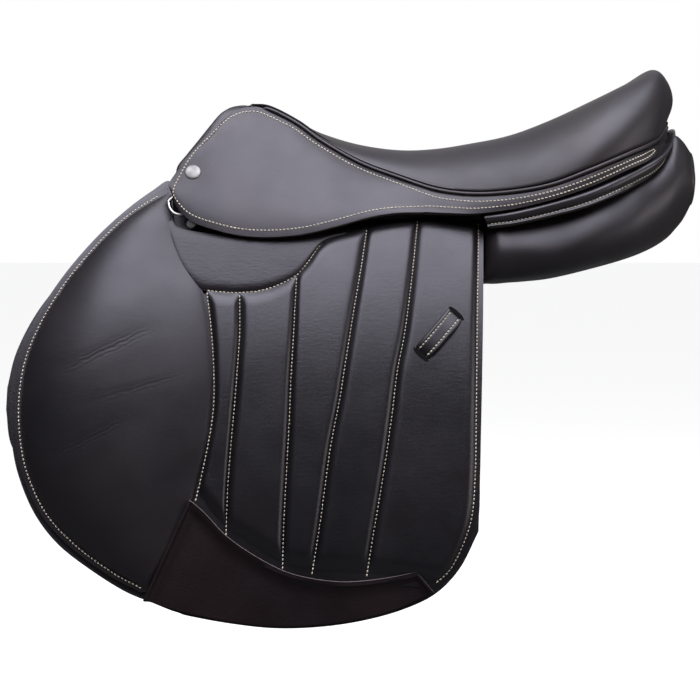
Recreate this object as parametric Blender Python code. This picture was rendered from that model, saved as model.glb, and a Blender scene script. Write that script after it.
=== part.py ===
# Jumping saddle with forward-cut flaps, knee rolls and a deep seat.
# +X runs back to the cantle, -Y is the near (left) side, +Z is up, and y = 0 is the centre plane.
# x = 0 is the lowest point of the seat, and z = 0 the level of the panels' lower edge below it.
# Left and right pieces come from one function each, which takes side = -1 (left) or +1 (right).
import math

import bmesh
import bpy
import numpy as np

for old in list(bpy.data.objects):
    bpy.data.objects.remove(old, do_unlink=True)

# Driving sizes, in metres
MM = 0.001
SEAM_GAP = 0.0004          # between pieces that touch
LAYER_GAP = 0.0009         # between curved layers that lie on each other
TREE_THICKNESS = 0.009
PLATE_THICKNESS = 0.0016
RIVET_RADIUS = 0.0035
RIVET_HEIGHT = 0.0014
RIVET_SEAT = 0.00105       # a rivet's flat foot clears the curved plate by this
WEB_THICKNESS = 0.0016
WEB_HALF_WIDTH = 0.025
SEAT_LEATHER = 0.0025
SEAT_FOAM = 0.011          # foam under the middle of the seat
FOAM_EDGE = 0.003          # foam where it runs out at the welt
WELT_RADIUS = 0.0021
SKIRT_LEATHER = 0.0042
SKIRT_CROWN = 0.004        # how far the skirt stands out between welt and hinge line
FACING_LEATHER = 0.0024
BAND_THICKNESS = 0.005
FLAP_LEATHER = 0.004
SWEAT_LEATHER = 0.003
POINT_THICKNESS = 0.0035
POINT_WIDTH = 0.030
BILLET_THICKNESS = 0.0035
BILLET_WIDTH = 0.025
BILLET_TOP = 0.047
BILLET_LENGTH = 0.245      # measured down, from the stitching to the tip
QUILT_SEAM = 0.0022        # thickness of the quilt along its stitch lines
QUILT_CROWN = 0.0065       # how much thicker a channel is at its middle
ROLL_EDGE = 0.0024         # sewn edge of the knee roll
ROLL_HEIGHT = 0.021        # stuffing of the knee roll over that edge
PATCH_LEATHER = 0.0024
KEEPER_LEATHER = 0.0022
KEEPER_RISE = 0.0045
PANEL_GAP = 0.0009
BAR_START = -0.160
BAR_END = -0.066
BAR_PLATE = 0.0026
BAR_SLOT = 0.013           # room for the stirrup leather
BAR_THICKNESS = 0.007
BAR_BOTTOM = 0.058
BAR_HEIGHT = 0.015
BAR_ARM = 0.012
CATCH_LENGTH = 0.014
CATCH_HEIGHT = 0.010
CATCH_THICKNESS = 0.0026
CATCH_CHAMFER = 0.0035
CATCH_PIN_RADIUS = 0.0013
CATCH_CLEARANCE = 0.0003
DEE_WIRE = 0.0014
DEE_WIDTH = 0.020
DEE_DROP = 0.020
NAIL_RADIUS = 0.0068
NAIL_HEIGHT = 0.0016
STUD_RADIUS = 0.0046
STUD_STEM = 0.0021
STUD_HEAD = 0.003

# Half-width of the flaps' inner face against height: wide apart at the hem, drawn in at the top
SIDE_TOP = 0.064
SIDE_SPREAD = 0.098
SIDE_BEND = 0.105
SIDE_TOP_LEVEL = 0.090

# Hinge line of flap and skirt, front and rear end, on the right side
HINGE_FRONT = np.array((-0.213, 0.084, 0.099))
HINGE_REAR = np.array((0.075, 0.108, 0.067))

# Layers on the flap's curve, counted out from the flap's inner face
BILLET_OUT = -LAYER_GAP
BILLET_IN = BILLET_OUT - BILLET_THICKNESS
SWEAT_OUT = BILLET_IN - LAYER_GAP
SWEAT_IN = SWEAT_OUT - SWEAT_LEATHER
POINT_OUT = SWEAT_IN - 1.5 * LAYER_GAP
POINT_IN = POINT_OUT - POINT_THICKNESS
PANEL_OUT = POINT_IN - PANEL_GAP
COVER_BASE = FLAP_LEATHER + LAYER_GAP


def mm(rows):
    """Hand-chosen points in millimetres, as metres."""
    return np.array(rows, float) * MM


def refine(points, steps, loop=False):
    """Points on a smooth curve through the given rows, with so many steps from row to row."""
    rows = np.asarray(points, float)
    if steps == 1:
        return rows
    if loop:
        ring = np.concatenate([rows[-1:], rows, rows[:2]])
    else:
        ring = np.concatenate([2 * rows[:1] - rows[1:2], rows, 2 * rows[-1:] - rows[-2:-1]])
    a, b, c, d = ring[:-3], ring[1:-2], ring[2:-1], ring[3:]
    spans = []
    for t in np.arange(steps) / steps:
        spans.append(b + 0.5 * t * (c - a + t * (2 * a - 5 * b + 4 * c - d + t * (3 * (b - c) + d - a))))
    fine = np.stack(spans, axis=1).reshape((-1,) + rows.shape[1:])
    return fine if loop else np.concatenate([fine, rows[-1:]])


def refine_grid(grid, along, across, loop=False):
    """A smooth net through a coarse one."""
    fine = refine(grid, along, loop)
    return np.swapaxes(refine(np.swapaxes(fine, 0, 1), across), 0, 1)


def normals(grid, loop=False):
    """Unit normals of a net, from its rows and columns."""
    if loop:
        along = np.roll(grid, -1, 0) - np.roll(grid, 1, 0)
    else:
        along = np.gradient(grid, axis=0)
    across = np.gradient(grid, axis=1)
    out = np.cross(along, across)
    return out / np.maximum(np.linalg.norm(out, axis=2, keepdims=True), 1e-9)


def to_side(points, side):
    """The right-hand points moved to the side asked for."""
    return np.asarray(points, float) * (1.0, side, 1.0)


def side_width(z):
    """Half-width of the flap's inner face at a height."""
    return SIDE_TOP + SIDE_SPREAD * np.log1p((SIDE_TOP_LEVEL - z) / SIDE_BEND)


def on_side(xz, offset):
    """Points at a distance out from the flap's inner face, given in the side view."""
    xz = np.asarray(xz, float)
    return np.stack([xz[..., 0], side_width(xz[..., 1]) + offset, xz[..., 1]], axis=-1)


def hinge_at(x):
    """The point of the hinge line at a distance along the saddle."""
    share = (x - HINGE_FRONT[0]) / (HINGE_REAR[0] - HINGE_FRONT[0])
    return HINGE_FRONT + share * (HINGE_REAR - HINGE_FRONT)


def material(name, colour, roughness, metallic=0.0):
    """A plain finish for one kind of surface."""
    finish = bpy.data.materials.new(name)
    finish.use_nodes = True
    shader = finish.node_tree.nodes["Principled BSDF"]
    shader.inputs["Base Color"].default_value = (*colour, 1.0)
    shader.inputs["Roughness"].default_value = roughness
    shader.inputs["Metallic"].default_value = metallic
    finish.diffuse_color = (*colour, 1.0)
    return finish


DARK_LEATHER = material("dark_leather", (0.030, 0.024, 0.026), 0.42)
SEAT_COVER = material("seat_leather", (0.040, 0.032, 0.032), 0.38)
WEAR_LEATHER = material("wear_leather", (0.034, 0.014, 0.013), 0.48)
STRAP_LEATHER = material("strap_leather", (0.022, 0.017, 0.017), 0.50)
FOAM = material("foam", (0.45, 0.42, 0.36), 0.90)
WEBBING = material("webbing", (0.55, 0.50, 0.42), 0.85)
BEECH = material("beech", (0.42, 0.27, 0.14), 0.55)
STEEL = material("steel", (0.52, 0.52, 0.54), 0.35, 1.0)
NICKEL = material("nickel", (0.72, 0.71, 0.69), 0.22, 1.0)
POINT_PLASTIC = material("point_plastic", (0.05, 0.05, 0.05), 0.60)


def empty(name, place, parent=None):
    """A bare axis marker that moving pieces hang on."""
    marker = bpy.data.objects.new(name, None)
    bpy.context.collection.objects.link(marker)
    marker.empty_display_size = 0.03
    here = np.asarray(place, float)
    marker["world"] = here.tolist()
    if parent is not None:
        marker.parent = parent
        here = here - np.array(parent["world"])
    marker.location = here
    return marker


def add_mesh(name, points, faces, finish, hinge=None):
    """An object from points in the saddle's frame, its faces turned out, hung on its hinge."""
    base = np.zeros(3) if hinge is None else np.array(hinge["world"])
    mesh = bpy.data.meshes.new(name)
    mesh.from_pydata((np.asarray(points) - base).tolist(), [], faces)
    net = bmesh.new()
    net.from_mesh(mesh)
    bmesh.ops.remove_doubles(net, verts=net.verts, dist=1e-7)
    bmesh.ops.recalc_face_normals(net, faces=net.faces)
    net.to_mesh(mesh)
    net.free()
    piece = bpy.data.objects.new(name, mesh)
    bpy.context.collection.objects.link(piece)
    mesh.materials.append(finish)
    mesh.shade_smooth()
    mesh.set_sharp_from_angle(angle=math.radians(40))
    piece.parent = hinge
    return piece


def between(name, lower, upper, finish, hinge=None, loop=False):
    """A closed body between two nets of the same size."""
    rows, columns = lower.shape[:2]
    count = rows * columns
    turns = rows if loop else rows - 1
    faces = []
    for i in range(turns):
        j = (i + 1) % rows
        for k in range(columns - 1):
            a, b, c, d = i * columns + k, j * columns + k, j * columns + k + 1, i * columns + k + 1
            for corner in ((a, b, c), (a, c, d)):
                faces.append(corner)
                faces.append(tuple(count + n for n in reversed(corner)))
        for k in (0, columns - 1):
            faces.append((i * columns + k, j * columns + k, count + j * columns + k, count + i * columns + k))
    if not loop:
        for i in (0, rows - 1):
            for k in range(columns - 1):
                a = i * columns + k
                faces.append((a, a + 1, count + a + 1, count + a))
    points = np.concatenate([lower.reshape(-1, 3), upper.reshape(-1, 3)])
    return add_mesh(name, points, faces, finish, hinge)


def shell(name, net, low, high, finish, hinge=None, loop=False, out=None):
    """A body from a net, between two distances along its normals."""
    away = normals(net, loop) if out is None else out
    low = np.asarray(low, float)[..., None] if np.ndim(low) else low
    high = np.asarray(high, float)[..., None] if np.ndim(high) else high
    return between(name, net + away * low, net + away * high, finish, hinge, loop)


def sheet(name, xz, low, high, side, finish, hinge=None):
    """A layer on the flap's curve, given in the side view, between two distances out."""
    return between(name, to_side(on_side(xz, low), side), to_side(on_side(xz, high), side), finish, hinge)


def rows_between(start, end, rows):
    """Straight columns from a line of start points to a line of end points."""
    share = np.linspace(0.0, 1.0, rows)[None, :, None]
    return start[:, None, :] * (1 - share) + end[:, None, :] * share


def loft(name, rings, finish):
    """A closed body through rings of points, with a flat end at each side."""
    count, around = rings.shape[:2]
    faces = []
    for i in range(count - 1):
        for k in range(around):
            n = (k + 1) % around
            faces.append((i * around + k, i * around + n, (i + 1) * around + n, (i + 1) * around + k))
    faces.append(tuple(range(around)))
    faces.append(tuple((count - 1) * around + k for k in range(around)))
    return add_mesh(name, rings.reshape(-1, 3), faces, finish)


def tube_points(path, radius, around=5):
    """Rings of a round bead along an open path."""
    along = np.gradient(path, axis=0)
    along /= np.linalg.norm(along, axis=1, keepdims=True)
    up = np.tile((0.0, 0.0, 1.0), (len(path), 1))
    first = np.cross(along, up)
    first /= np.linalg.norm(first, axis=1, keepdims=True)
    second = np.cross(first, along)
    angle = np.arange(around) * 2 * math.pi / around
    ring = first[:, None] * np.cos(angle)[:, None] + second[:, None] * np.sin(angle)[:, None]
    return path[:, None] + radius * ring


def prism(name, outline, direction, finish, hinge=None):
    """A flat outline carried along one direction."""
    outline = np.asarray(outline, float)
    count = len(outline)
    faces = [tuple(range(count)), tuple(range(count, 2 * count))]
    faces += [(k, (k + 1) % count, count + (k + 1) % count, count + k) for k in range(count)]
    return add_mesh(name, np.concatenate([outline, outline + np.asarray(direction)]), faces, finish, hinge)


def frame_for(axis):
    """Two unit directions square to an axis."""
    axis = np.asarray(axis, float) / np.linalg.norm(axis)
    guide = np.array((0.0, 0.0, 1.0)) if abs(axis[2]) < 0.9 else np.array((1.0, 0.0, 0.0))
    first = np.cross(guide, axis)
    first /= np.linalg.norm(first)
    return axis, first, np.cross(axis, first)


def turned(profile, foot, axis, sides=16):
    """Points and faces of a turned body: the profile gives (radius, height) from foot to crown."""
    axis, first, second = frame_for(axis)
    angle = np.arange(sides) * 2 * math.pi / sides
    ring = np.cos(angle)[:, None] * first + np.sin(angle)[:, None] * second
    points = [np.asarray(foot) + radius * ring + height * axis for radius, height in profile]
    faces = [tuple(range(sides))]
    for i in range(len(profile) - 1):
        for k in range(sides):
            n = (k + 1) % sides
            faces.append((i * sides + k, i * sides + n, (i + 1) * sides + n, (i + 1) * sides + k))
    faces.append(tuple((len(profile) - 1) * sides + k for k in range(sides)))
    return np.concatenate(points), faces


def cut(piece, cutter):
    """Takes the cutter's shape out of a piece."""
    cutter.hide_render = True
    cutter.display_type = "WIRE"
    knife = piece.modifiers.new("cut_" + cutter.name, "BOOLEAN")
    knife.operation = "DIFFERENCE"
    knife.object = cutter


def domed(radius, height, steps=4):
    """Profile of a low domed head."""
    edge = 0.3 * height
    angles = np.linspace(0.0, 0.5 * math.pi, steps + 1)[:-1]
    dome = [(radius * math.cos(a), edge + (height - edge) * math.sin(a)) for a in angles]
    return [(radius, 0.0)] + dome + [(0.08 * radius, height)]


# Tree: a laminated frame bent to a loop, with the arch in front, a rail on each side and the cantle.
# Each row holds the outer (lower) edge, the middle and the inner (upper) edge of the right half.
TREE_ROWS = mm([
    [(-155, 0, 155), (-139, 0, 157), (-118, 0, 153)],
    [(-161, 23, 147), (-143, 20, 149), (-123, 16, 146)],
    [(-174, 41, 126), (-157, 38, 131), (-138, 30, 134)],
    [(-187, 55, 105), (-170, 51, 114), (-148, 41, 125)],
    [(-199, 65, 82), (-182, 64, 99), (-149, 48, 117)],
    [(-186, 66, 58), (-167, 66, 80), (-138, 51, 113)],
    [(-118, 66, 60), (-118, 66, 84), (-112, 42, 121)],
    [(-62, 66, 60), (-62, 66, 84), (-66, 42, 115)],
    [(-20, 70, 72), (-22, 67, 88), (-26, 45, 105)],
    [(20, 77, 77), (20, 67, 90), (18, 50, 101)],
    [(64, 89, 80), (62, 76, 91), (60, 59, 99)],
    [(104, 106, 82), (100, 91, 94), (96, 73, 104)],
    [(146, 112, 90), (142, 98, 103), (138, 81, 116)],
    [(184, 103, 104), (179, 90, 119), (174, 75, 136)],
    [(211, 80, 122), (207, 70, 139), (202, 58, 156)],
    [(227, 44, 140), (225, 39, 159), (220, 33, 176)],
    [(232, 0, 147), (233, 0, 166), (230, 0, 184)],
])
TREE_HEAD_ROWS = 4         # rows of the arch, counted from the top
TREE_STEPS = 2


def full_loop(right_rows):
    """The right half and its mirror image as one closed loop of rows."""
    left = right_rows[-2:0:-1] * (1.0, -1.0, 1.0)
    return np.concatenate([right_rows, left])


tree_net = refine(full_loop(TREE_ROWS), TREE_STEPS, loop=True)
tree_out = normals(tree_net, loop=True)
if tree_out[0, 1, 2] < 0:
    tree_out = -tree_out
half_tree = TREE_THICKNESS / 2
shell("tree_frame", tree_net, -half_tree, half_tree, BEECH, loop=True, out=tree_out)

# Steel plates over and under the arch
head_span = np.arange(-TREE_HEAD_ROWS * TREE_STEPS + 2, TREE_HEAD_ROWS * TREE_STEPS - 1)
head_net = tree_net[head_span][:, :2]
head_out = tree_out[head_span][:, :2]
plate_foot = half_tree + LAYER_GAP
plate_top = plate_foot + PLATE_THICKNESS
shell("head_plate", head_net, plate_foot, plate_top, STEEL, out=head_out)
shell("gullet_plate", head_net, -plate_top, -plate_foot, STEEL, out=head_out)


def rivet(foot, axis):
    """One domed rivet head."""
    return turned(domed(RIVET_RADIUS, RIVET_HEIGHT, 2), foot, axis, 8)


for number, row in enumerate(range(1, len(head_span), 2)):
    middle = 0.5 * (head_net[row, 0] + head_net[row, 1])
    away = head_out[row, 0] + head_out[row, 1]
    away /= np.linalg.norm(away)
    foot = middle + away * (plate_top + RIVET_SEAT)
    add_mesh("plate_rivet_%d" % (number + 1), *rivet(foot, away), STEEL)

# Stirrup bars: forged, open at the back, on the rails, each with a thumb catch on a cross pin
RAIL_HALF_WIDTH = TREE_ROWS[6, 0, 1]
bar_inner = RAIL_HALF_WIDTH + half_tree + SEAM_GAP
slot_inner = bar_inner + BAR_PLATE
slot_outer = slot_inner + BAR_SLOT
bar_outer = slot_outer + BAR_THICKNESS
bar_middle = 0.5 * (slot_outer + bar_outer)
catch_x = BAR_END - 0.6 * CATCH_HEIGHT
catch_z = BAR_BOTTOM + 0.5 * BAR_HEIGHT
catch_reach = 0.5 * CATCH_HEIGHT


def stirrup_bar(tag, side):
    """The plate on the rail, the front arm and the bar itself, as one forging, slotted for its catch."""
    plan = [
        (BAR_START, bar_inner), (BAR_START + BAR_ARM * 0.4, bar_outer - 0.3 * BAR_THICKNESS),
        (BAR_START + BAR_ARM, bar_outer), (BAR_END, bar_outer), (BAR_END, slot_outer),
        (BAR_START + BAR_ARM * 1.3, slot_outer), (BAR_START + BAR_ARM, slot_inner),
        (BAR_END, slot_inner), (BAR_END, bar_inner),
    ]
    outline = [(x, side * y, BAR_BOTTOM) for x, y in plan]
    bar = prism("stirrup_bar_" + tag, outline, (0, 0, BAR_HEIGHT), STEEL)
    room = 0.5 * CATCH_THICKNESS + CATCH_CLEARANCE
    slot_start = catch_x - catch_reach - 2 * CATCH_CLEARANCE
    slot_side = side * (bar_middle - room)
    low, high = BAR_BOTTOM - MM, BAR_BOTTOM + BAR_HEIGHT + MM
    box = [
        (slot_start, slot_side, low), (BAR_END + MM, slot_side, low),
        (BAR_END + MM, slot_side, high), (slot_start, slot_side, high),
    ]
    cut(bar, prism("catch_slot_" + tag, box, (0, side * 2 * room, 0), STEEL))
    cut(bar, catch_bore("bar_bore_" + tag, side, CATCH_PIN_RADIUS + CATCH_CLEARANCE))
    return bar


def catch_bore(name, side, radius):
    """A round cutter through the bar's end and its catch."""
    length = BAR_THICKNESS + 2 * MM
    foot = (catch_x, side * (slot_outer - MM), catch_z)
    points, faces = turned([(radius, 0.0), (radius, length)], foot, (0, side, 0), 12)
    return add_mesh(name, points, faces, STEEL)


def stirrup_catch(tag, side, hinge):
    """The thumb catch: a lever with a round eye, lying open along the bar."""
    eye = np.linspace(0.5 * math.pi, 1.5 * math.pi, 9)
    outline = [(catch_x + catch_reach * math.cos(a), catch_z + catch_reach * math.sin(a)) for a in eye]
    tip = catch_x + CATCH_LENGTH
    chamfer = CATCH_CHAMFER
    outline += [(tip - chamfer, catch_z - catch_reach), (tip, catch_z - catch_reach + chamfer)]
    outline += [(tip, catch_z + catch_reach - chamfer), (tip - chamfer, catch_z + catch_reach)]
    start = side * (bar_middle - 0.5 * CATCH_THICKNESS)
    lever = prism("stirrup_catch_" + tag, [(x, start, z) for x, z in outline],
                  (0, side * CATCH_THICKNESS, 0), STEEL, hinge)
    bore = catch_bore("catch_bore_" + tag, side, CATCH_PIN_RADIUS + CATCH_CLEARANCE)
    bore.parent = hinge
    bore.location = -np.array(hinge["world"])
    cut(lever, bore)


def catch_pin(tag, side):
    """The pin that the catch turns on, with a light head at each end."""
    foot = (catch_x, side * (slot_outer + 0.2 * MM), catch_z)
    length = BAR_THICKNESS - 0.4 * MM
    points, faces = turned([(CATCH_PIN_RADIUS, 0.0), (CATCH_PIN_RADIUS, length)], foot, (0, side, 0), 12)
    add_mesh("catch_pin_" + tag, points, faces, STEEL)


# Seat: ribs from the welt to the spine. Each row gives the welt point, then the spine point,
# then how far the middle of the seat dips below the rim there.
SEAT_ROWS = [
    ((-144, 20, 166), (-150, 0, 176), 0),
    ((-123, 30, 164.5), (-126, 0, 172), 0),
    ((-97, 36, 153.5), (-100, 0, 161), 0),
    ((-74, 44, 137), (-76, 0, 149), 0),
    ((-39, 58, 119), (-40, 0, 138), 0),
    ((-3, 74, 105), (-2, 0, 133), 0),
    ((31, 92, 94), (32, 0, 135), 1),
    ((64, 106, 90), (66, 0, 142), 3),
    ((98, 118, 92), (102, 0, 152), 6),
    ((130, 127, 98), (138, 0, 167), 8),
    ((163, 128, 111), (178, 0, 187), 10),
    ((199, 115, 126), (213, 0, 203), 8),
    ((226, 92, 137), (236, 0, 211), 3),
    ((239, 60, 147), (250, 0, 199), 0),
    ((247, 32, 152), (257, 0, 181), 0),
    ((250, 12, 155), (256, 0, 167), 0),
]
SEAT_RIB_STEPS = 5
SEAT_ROW_STEPS = 2
SEAT_LIFT = 1.4 * (WELT_RADIUS + SEAM_GAP + SEAT_LEATHER)


def seat_surface():
    """The cover's outer face: ribs that rise from the welt in a quarter ellipse and cross the spine."""
    welt = mm([row[0] for row in SEAT_ROWS]) + (0.0, 0.0, SEAT_LIFT)
    spine = mm([row[1] for row in SEAT_ROWS])
    dip = mm([row[2] for row in SEAT_ROWS])
    welt = refine(welt, SEAT_ROW_STEPS)
    spine = refine(spine, SEAT_ROW_STEPS)
    dip = refine(dip, SEAT_ROW_STEPS)
    turn = np.linspace(0.0, 0.5 * math.pi, SEAT_RIB_STEPS + 1)
    out = np.cos(turn)
    rise = np.sin(turn) ** 0.85
    hollow = 0.5 - 0.5 * np.cos(math.pi * np.clip(turn / (0.5 * math.pi) * 2 - 1, 0, 1))
    x = welt[:, None, 0] + (spine - welt)[:, None, 0] * rise
    y = welt[:, None, 1] * out
    z = welt[:, None, 2] + (spine - welt)[:, None, 2] * rise - dip[:, None] * hollow
    right = np.stack([x, y, z], axis=-1)
    left = right[:, -2::-1] * (1.0, -1.0, 1.0)
    return np.concatenate([right, left], axis=1)


seat_net = seat_surface()
seat_out = normals(seat_net)
if seat_out[8, SEAT_RIB_STEPS, 2] < 0:
    seat_out = -seat_out
shell("seat_cover", seat_net, -SEAT_LEATHER, 0.0, SEAT_COVER, out=seat_out)

foam_top = SEAT_LEATHER + SEAM_GAP
foam_rise = np.sin(np.linspace(0.0, math.pi, 2 * SEAT_RIB_STEPS + 1))
foam_depth = foam_top + FOAM_EDGE + (SEAT_FOAM - FOAM_EDGE) * np.tile(foam_rise, (len(seat_net), 1))
foam_thin = np.interp(np.arange(len(seat_net)), (3, 6, 10, 18, 24), (0.0, 0.4, 1.0, 1.0, 0.2))[:, None]
foam_depth = foam_top + FOAM_EDGE + foam_thin * (foam_depth - foam_top - FOAM_EDGE)
foam_inset = slice(2, -2)
shell("seat_foam", seat_net[1:-1, foam_inset], -foam_depth[1:-1, foam_inset], -foam_top, FOAM,
      out=seat_out[1:-1, foam_inset])

# Webbing from the arch to the cantle: it follows the foam's underside, with both ends on the tree
spine = SEAT_RIB_STEPS
web_rows = slice(4, 21)
foam_low = seat_net - seat_out * foam_depth[..., None]
web_spots = foam_low[web_rows, spine].copy()
web_spots[:, 2] = foam_low[web_rows, spine - 1:spine + 1, 2].min(axis=1) - SEAM_GAP
web_wide = np.minimum(foam_low[web_rows, spine - 1, 1], WEB_HALF_WIDTH)
web_on_tree = half_tree + SEAM_GAP + WEB_THICKNESS
web_front = mm([(-135, 0, 156.6), (-115, 0, 153.4)]) + (0.0, 0.0, web_on_tree)
web_back = mm([(219, 0, 181.5), (226, 0, 184.6), (234, 0, 185.4)]) + (0.0, 0.0, SEAM_GAP + WEB_THICKNESS)
web_line = np.concatenate([web_front, web_spots, web_back])
web_half = np.concatenate([web_wide[:1], web_wide[:1], web_wide, [WEB_HALF_WIDTH] * len(web_back)])
web_net = web_line[:, None] + web_half[:, None, None] * np.array([(0, 1, 0), (0, 0, 0), (0, -1, 0)])
web_out = normals(web_net)
if web_out[8, 1, 2] < 0:
    web_out = -web_out
shell("seat_webbing", web_net, -WEB_THICKNESS, 0.0, WEBBING, out=web_out)

# Welt: a bead of piping all along the seat's edge
welt_right = refine(mm([row[0] for row in SEAT_ROWS]), SEAT_ROW_STEPS)
welt_line = np.concatenate([welt_right, welt_right[::-1] * (1.0, -1.0, 1.0)])
loft("seat_welt", tube_points(welt_line, WELT_RADIUS), DARK_LEATHER)

# Skirts: the small flaps over the stirrup bars. Each row is a point below the welt, then the point
# on the hinge line, or, behind the lifting lip, on the lower edge.
SKIRT_TOP = mm([
    (-141, 27, 166), (-132, 29, 164), (-118, 32, 160), (-97, 37, 150.5), (-74, 45, 134), (-39, 59, 116),
    (-3, 75, 102), (31, 93, 90.5), (64, 107, 86.5), (98, 119, 88), (130, 128, 94), (163, 129, 107.5),
    (199, 116, 122.5), (226, 94, 133.5),
])
SKIRT_HINGE_X = mm([-211, -190, -160, -125, -92, -50, -8])
SKIRT_TAIL = mm([
    (30, 107, 73), (64, 114, 72), (97, 123, 76), (130, 131, 84), (163, 131, 95), (199, 118, 112),
    (227, 97, 127),
])
LIP_EDGE = mm([
    (-209.5, 86.5, 91), (-203, 93.5, 77), (-190, 100, 65), (-167, 106, 57), (-143, 110, 52),
    (-117, 112, 51), (-90, 112, 53.5), (-60, 110, 60.5), (-30, 106, 69), (-8, 103.5, 72.6),
])
LIP_HINGE_X = mm([-211, -203, -190, -167, -143, -117, -90, -60, -30, -8])
LIP_BULGE = 0.002
LIP_FULL_HEIGHT = 0.035


def crowned(top, bottom, rows, crown, out):
    """Columns from a top line to a bottom line that stand out between them."""
    net = rows_between(top, bottom, rows)
    share = np.linspace(0.0, 1.0, rows)[None, :, None]
    return net + 4 * share * (1 - share) * crown * np.asarray(out)


SKIRT_DIRECTION = np.array((0.0, 0.75, 0.66))


def skirt(tag, side):
    """The fixed part, nailed under the welt."""
    hinge_row = np.array([hinge_at(x) for x in SKIRT_HINGE_X])
    pull = SKIRT_TOP[:7] - hinge_row
    pull /= np.linalg.norm(pull, axis=1, keepdims=True)
    bottom = np.concatenate([hinge_row + SEAM_GAP * pull, SKIRT_TAIL])
    top, bottom = refine(SKIRT_TOP, 2), refine(bottom, 2)
    height = np.linalg.norm(top - bottom, axis=1)
    crown = SKIRT_CROWN * np.clip(height / 0.07, 0, 1)[:, None, None]
    net = to_side(crowned(top, bottom, 4, crown, SKIRT_DIRECTION), side)
    away = normals(net)
    away *= np.sign(away[4, 2, 1] * side)
    shell("skirt_" + tag, net, -SKIRT_LEATHER, 0.0, DARK_LEATHER, out=away)
    return net, away


def skirt_lip(tag, side, hinge):
    """The lifting part below the hinge line. At its pointed ends it faces the way its next rows do."""
    hinge_row = np.array([hinge_at(x) for x in LIP_HINGE_X])
    pull = LIP_EDGE - hinge_row
    pull /= np.linalg.norm(pull, axis=1, keepdims=True)
    height = np.linalg.norm(LIP_EDGE - hinge_row, axis=1)
    bulge = LIP_BULGE * np.clip(height / LIP_FULL_HEIGHT, 0, 1)[:, None, None]
    net = crowned(hinge_row + SEAM_GAP * pull, LIP_EDGE, 4, bulge, SKIRT_DIRECTION)
    net = to_side(refine(net, 2), side)
    away = normals(net)
    away *= np.sign(away[6, 1, 1] * side)
    away[:2], away[-2:] = away[2], away[-3]
    shell("skirt_lip_" + tag, net, -SKIRT_LEATHER, 0.0, DARK_LEATHER, hinge, out=away)


# Facings: leather over the front of the arch, and the padded band over the back of the panels
POMMEL_FACING = mm([
    [(-147, 0, 172.4), (-165, 0, 169), (-163, 0, 157)],
    [(-149, 16, 169), (-170, 15, 164), (-168, 14, 152)],
    [(-162, 36, 154), (-180, 36, 148), (-177, 32, 137)],
    [(-177, 51, 138), (-191, 51, 133), (-187, 46, 122)],
    [(-193, 63, 121), (-201, 63, 119), (-197, 57, 108)],
    [(-202, 73, 107), (-208, 74.5, 103), (-206, 68, 92)],
])
REAR_BAND = mm([
    [(70, 102, 77), (74, 116, 61)],
    [(98, 113, 82), (98, 124, 63)],
    [(130, 121, 90), (130, 131, 69)],
    [(163, 121, 101), (163, 131, 77)],
    [(196, 108, 117), (199, 119, 92)],
    [(221, 86, 129), (228, 96, 109)],
    [(236, 58, 139), (244, 66, 124)],
    [(244, 30, 145), (251, 33, 136)],
    [(246, 0, 147), (253, 0, 140)],
])


def mirrored_strip(right_rows, steps, across=1):
    """A strip from the end of the right half, over the middle, to the end of the left half."""
    left = right_rows[1:] * (1.0, -1.0, 1.0)
    return refine_grid(np.concatenate([right_rows[:0:-1], right_rows[:1], left]), steps, across)


facing_net = mirrored_strip(POMMEL_FACING, 2, 1)
facing_out = normals(facing_net)
facing_out[0], facing_out[-1] = facing_out[1], facing_out[-2]
if facing_out[len(facing_net) // 2, 1, 0] > 0:
    facing_out = -facing_out
shell("pommel_facing", facing_net, -FACING_LEATHER, 0.0, DARK_LEATHER, out=facing_out)

band_net = mirrored_strip(REAR_BAND[::-1], 2, 2)
band_out = normals(band_net)
if band_out[len(band_net) // 2, 1, 0] < 0:
    band_out = -band_out
shell("rear_facing", band_net, -BAND_THICKNESS, 0.0, DARK_LEATHER, out=band_out)

# Flap outline in the side view: straight columns, each from the top or front edge to the hem
FLAP_TOP = mm([
    (-341, -82), (-338, -61), (-330, -35), (-317, -8), (-298, 22), (-274, 52), (-250, 76), (-226, 91),
    (-207, 60), (-172, 53), (-131, 52), (-91, 52), (-52, 57), (-16, 62), (20, 66), (48, 66), (72, 62),
])
FLAP_HEM = mm([
    (-341, -96), (-339, -118), (-332, -149), (-317, -182), (-296, -208), (-268, -229), (-238, -247),
    (-211, -258), (-184, -267), (-150, -273), (-112, -277), (-74, -276), (-38, -271), (-4, -262),
    (24, -249), (45, -228), (61, -198),
])
SWEAT_TOP = mm([
    (-346, -80), (-340, -50), (-325, -17), (-303, 14), (-277, 45), (-252, 69), (-226, 87), (-204, 49),
    (-150, 49),
    (-100, 49), (-50, 49), (0, 49), (40, 49), (72, 47), (84, 20),
])
SWEAT_HEM = mm([
    (-346, -98), (-340, -128), (-322, -150), (-298, -172), (-270, -189), (-243, -203), (-215, -213),
    (-190, -219), (-145, -226), (-96, -228), (-48, -222), (-4, -205), (34, -180), (62, -148), (84, 4),
])
# Knee roll: rows from its tip to its foot, front edge and rear crease
ROLL_FRONT = mm([
    (-228, 85), (-261, 61), (-293, 23), (-316, -14), (-332, -50), (-337, -84), (-335, -118),
    (-327, -151), (-309, -185), (-282, -212), (-250, -234), (-224, -247),
])
ROLL_REAR = mm([
    (-222, 79), (-212, 56), (-196, 30), (-178, 4), (-170, -30), (-167, -64), (-168, -98), (-171, -126),
    (-178, -154), (-184, -177), (-198, -212), (-217, -246),
])
ROLL_SHARE = [0.25, 0.5, 0.75, 0.95, 1.0, 1.0, 0.95, 0.88, 0.76, 0.6, 0.42, 0.25]
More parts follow.
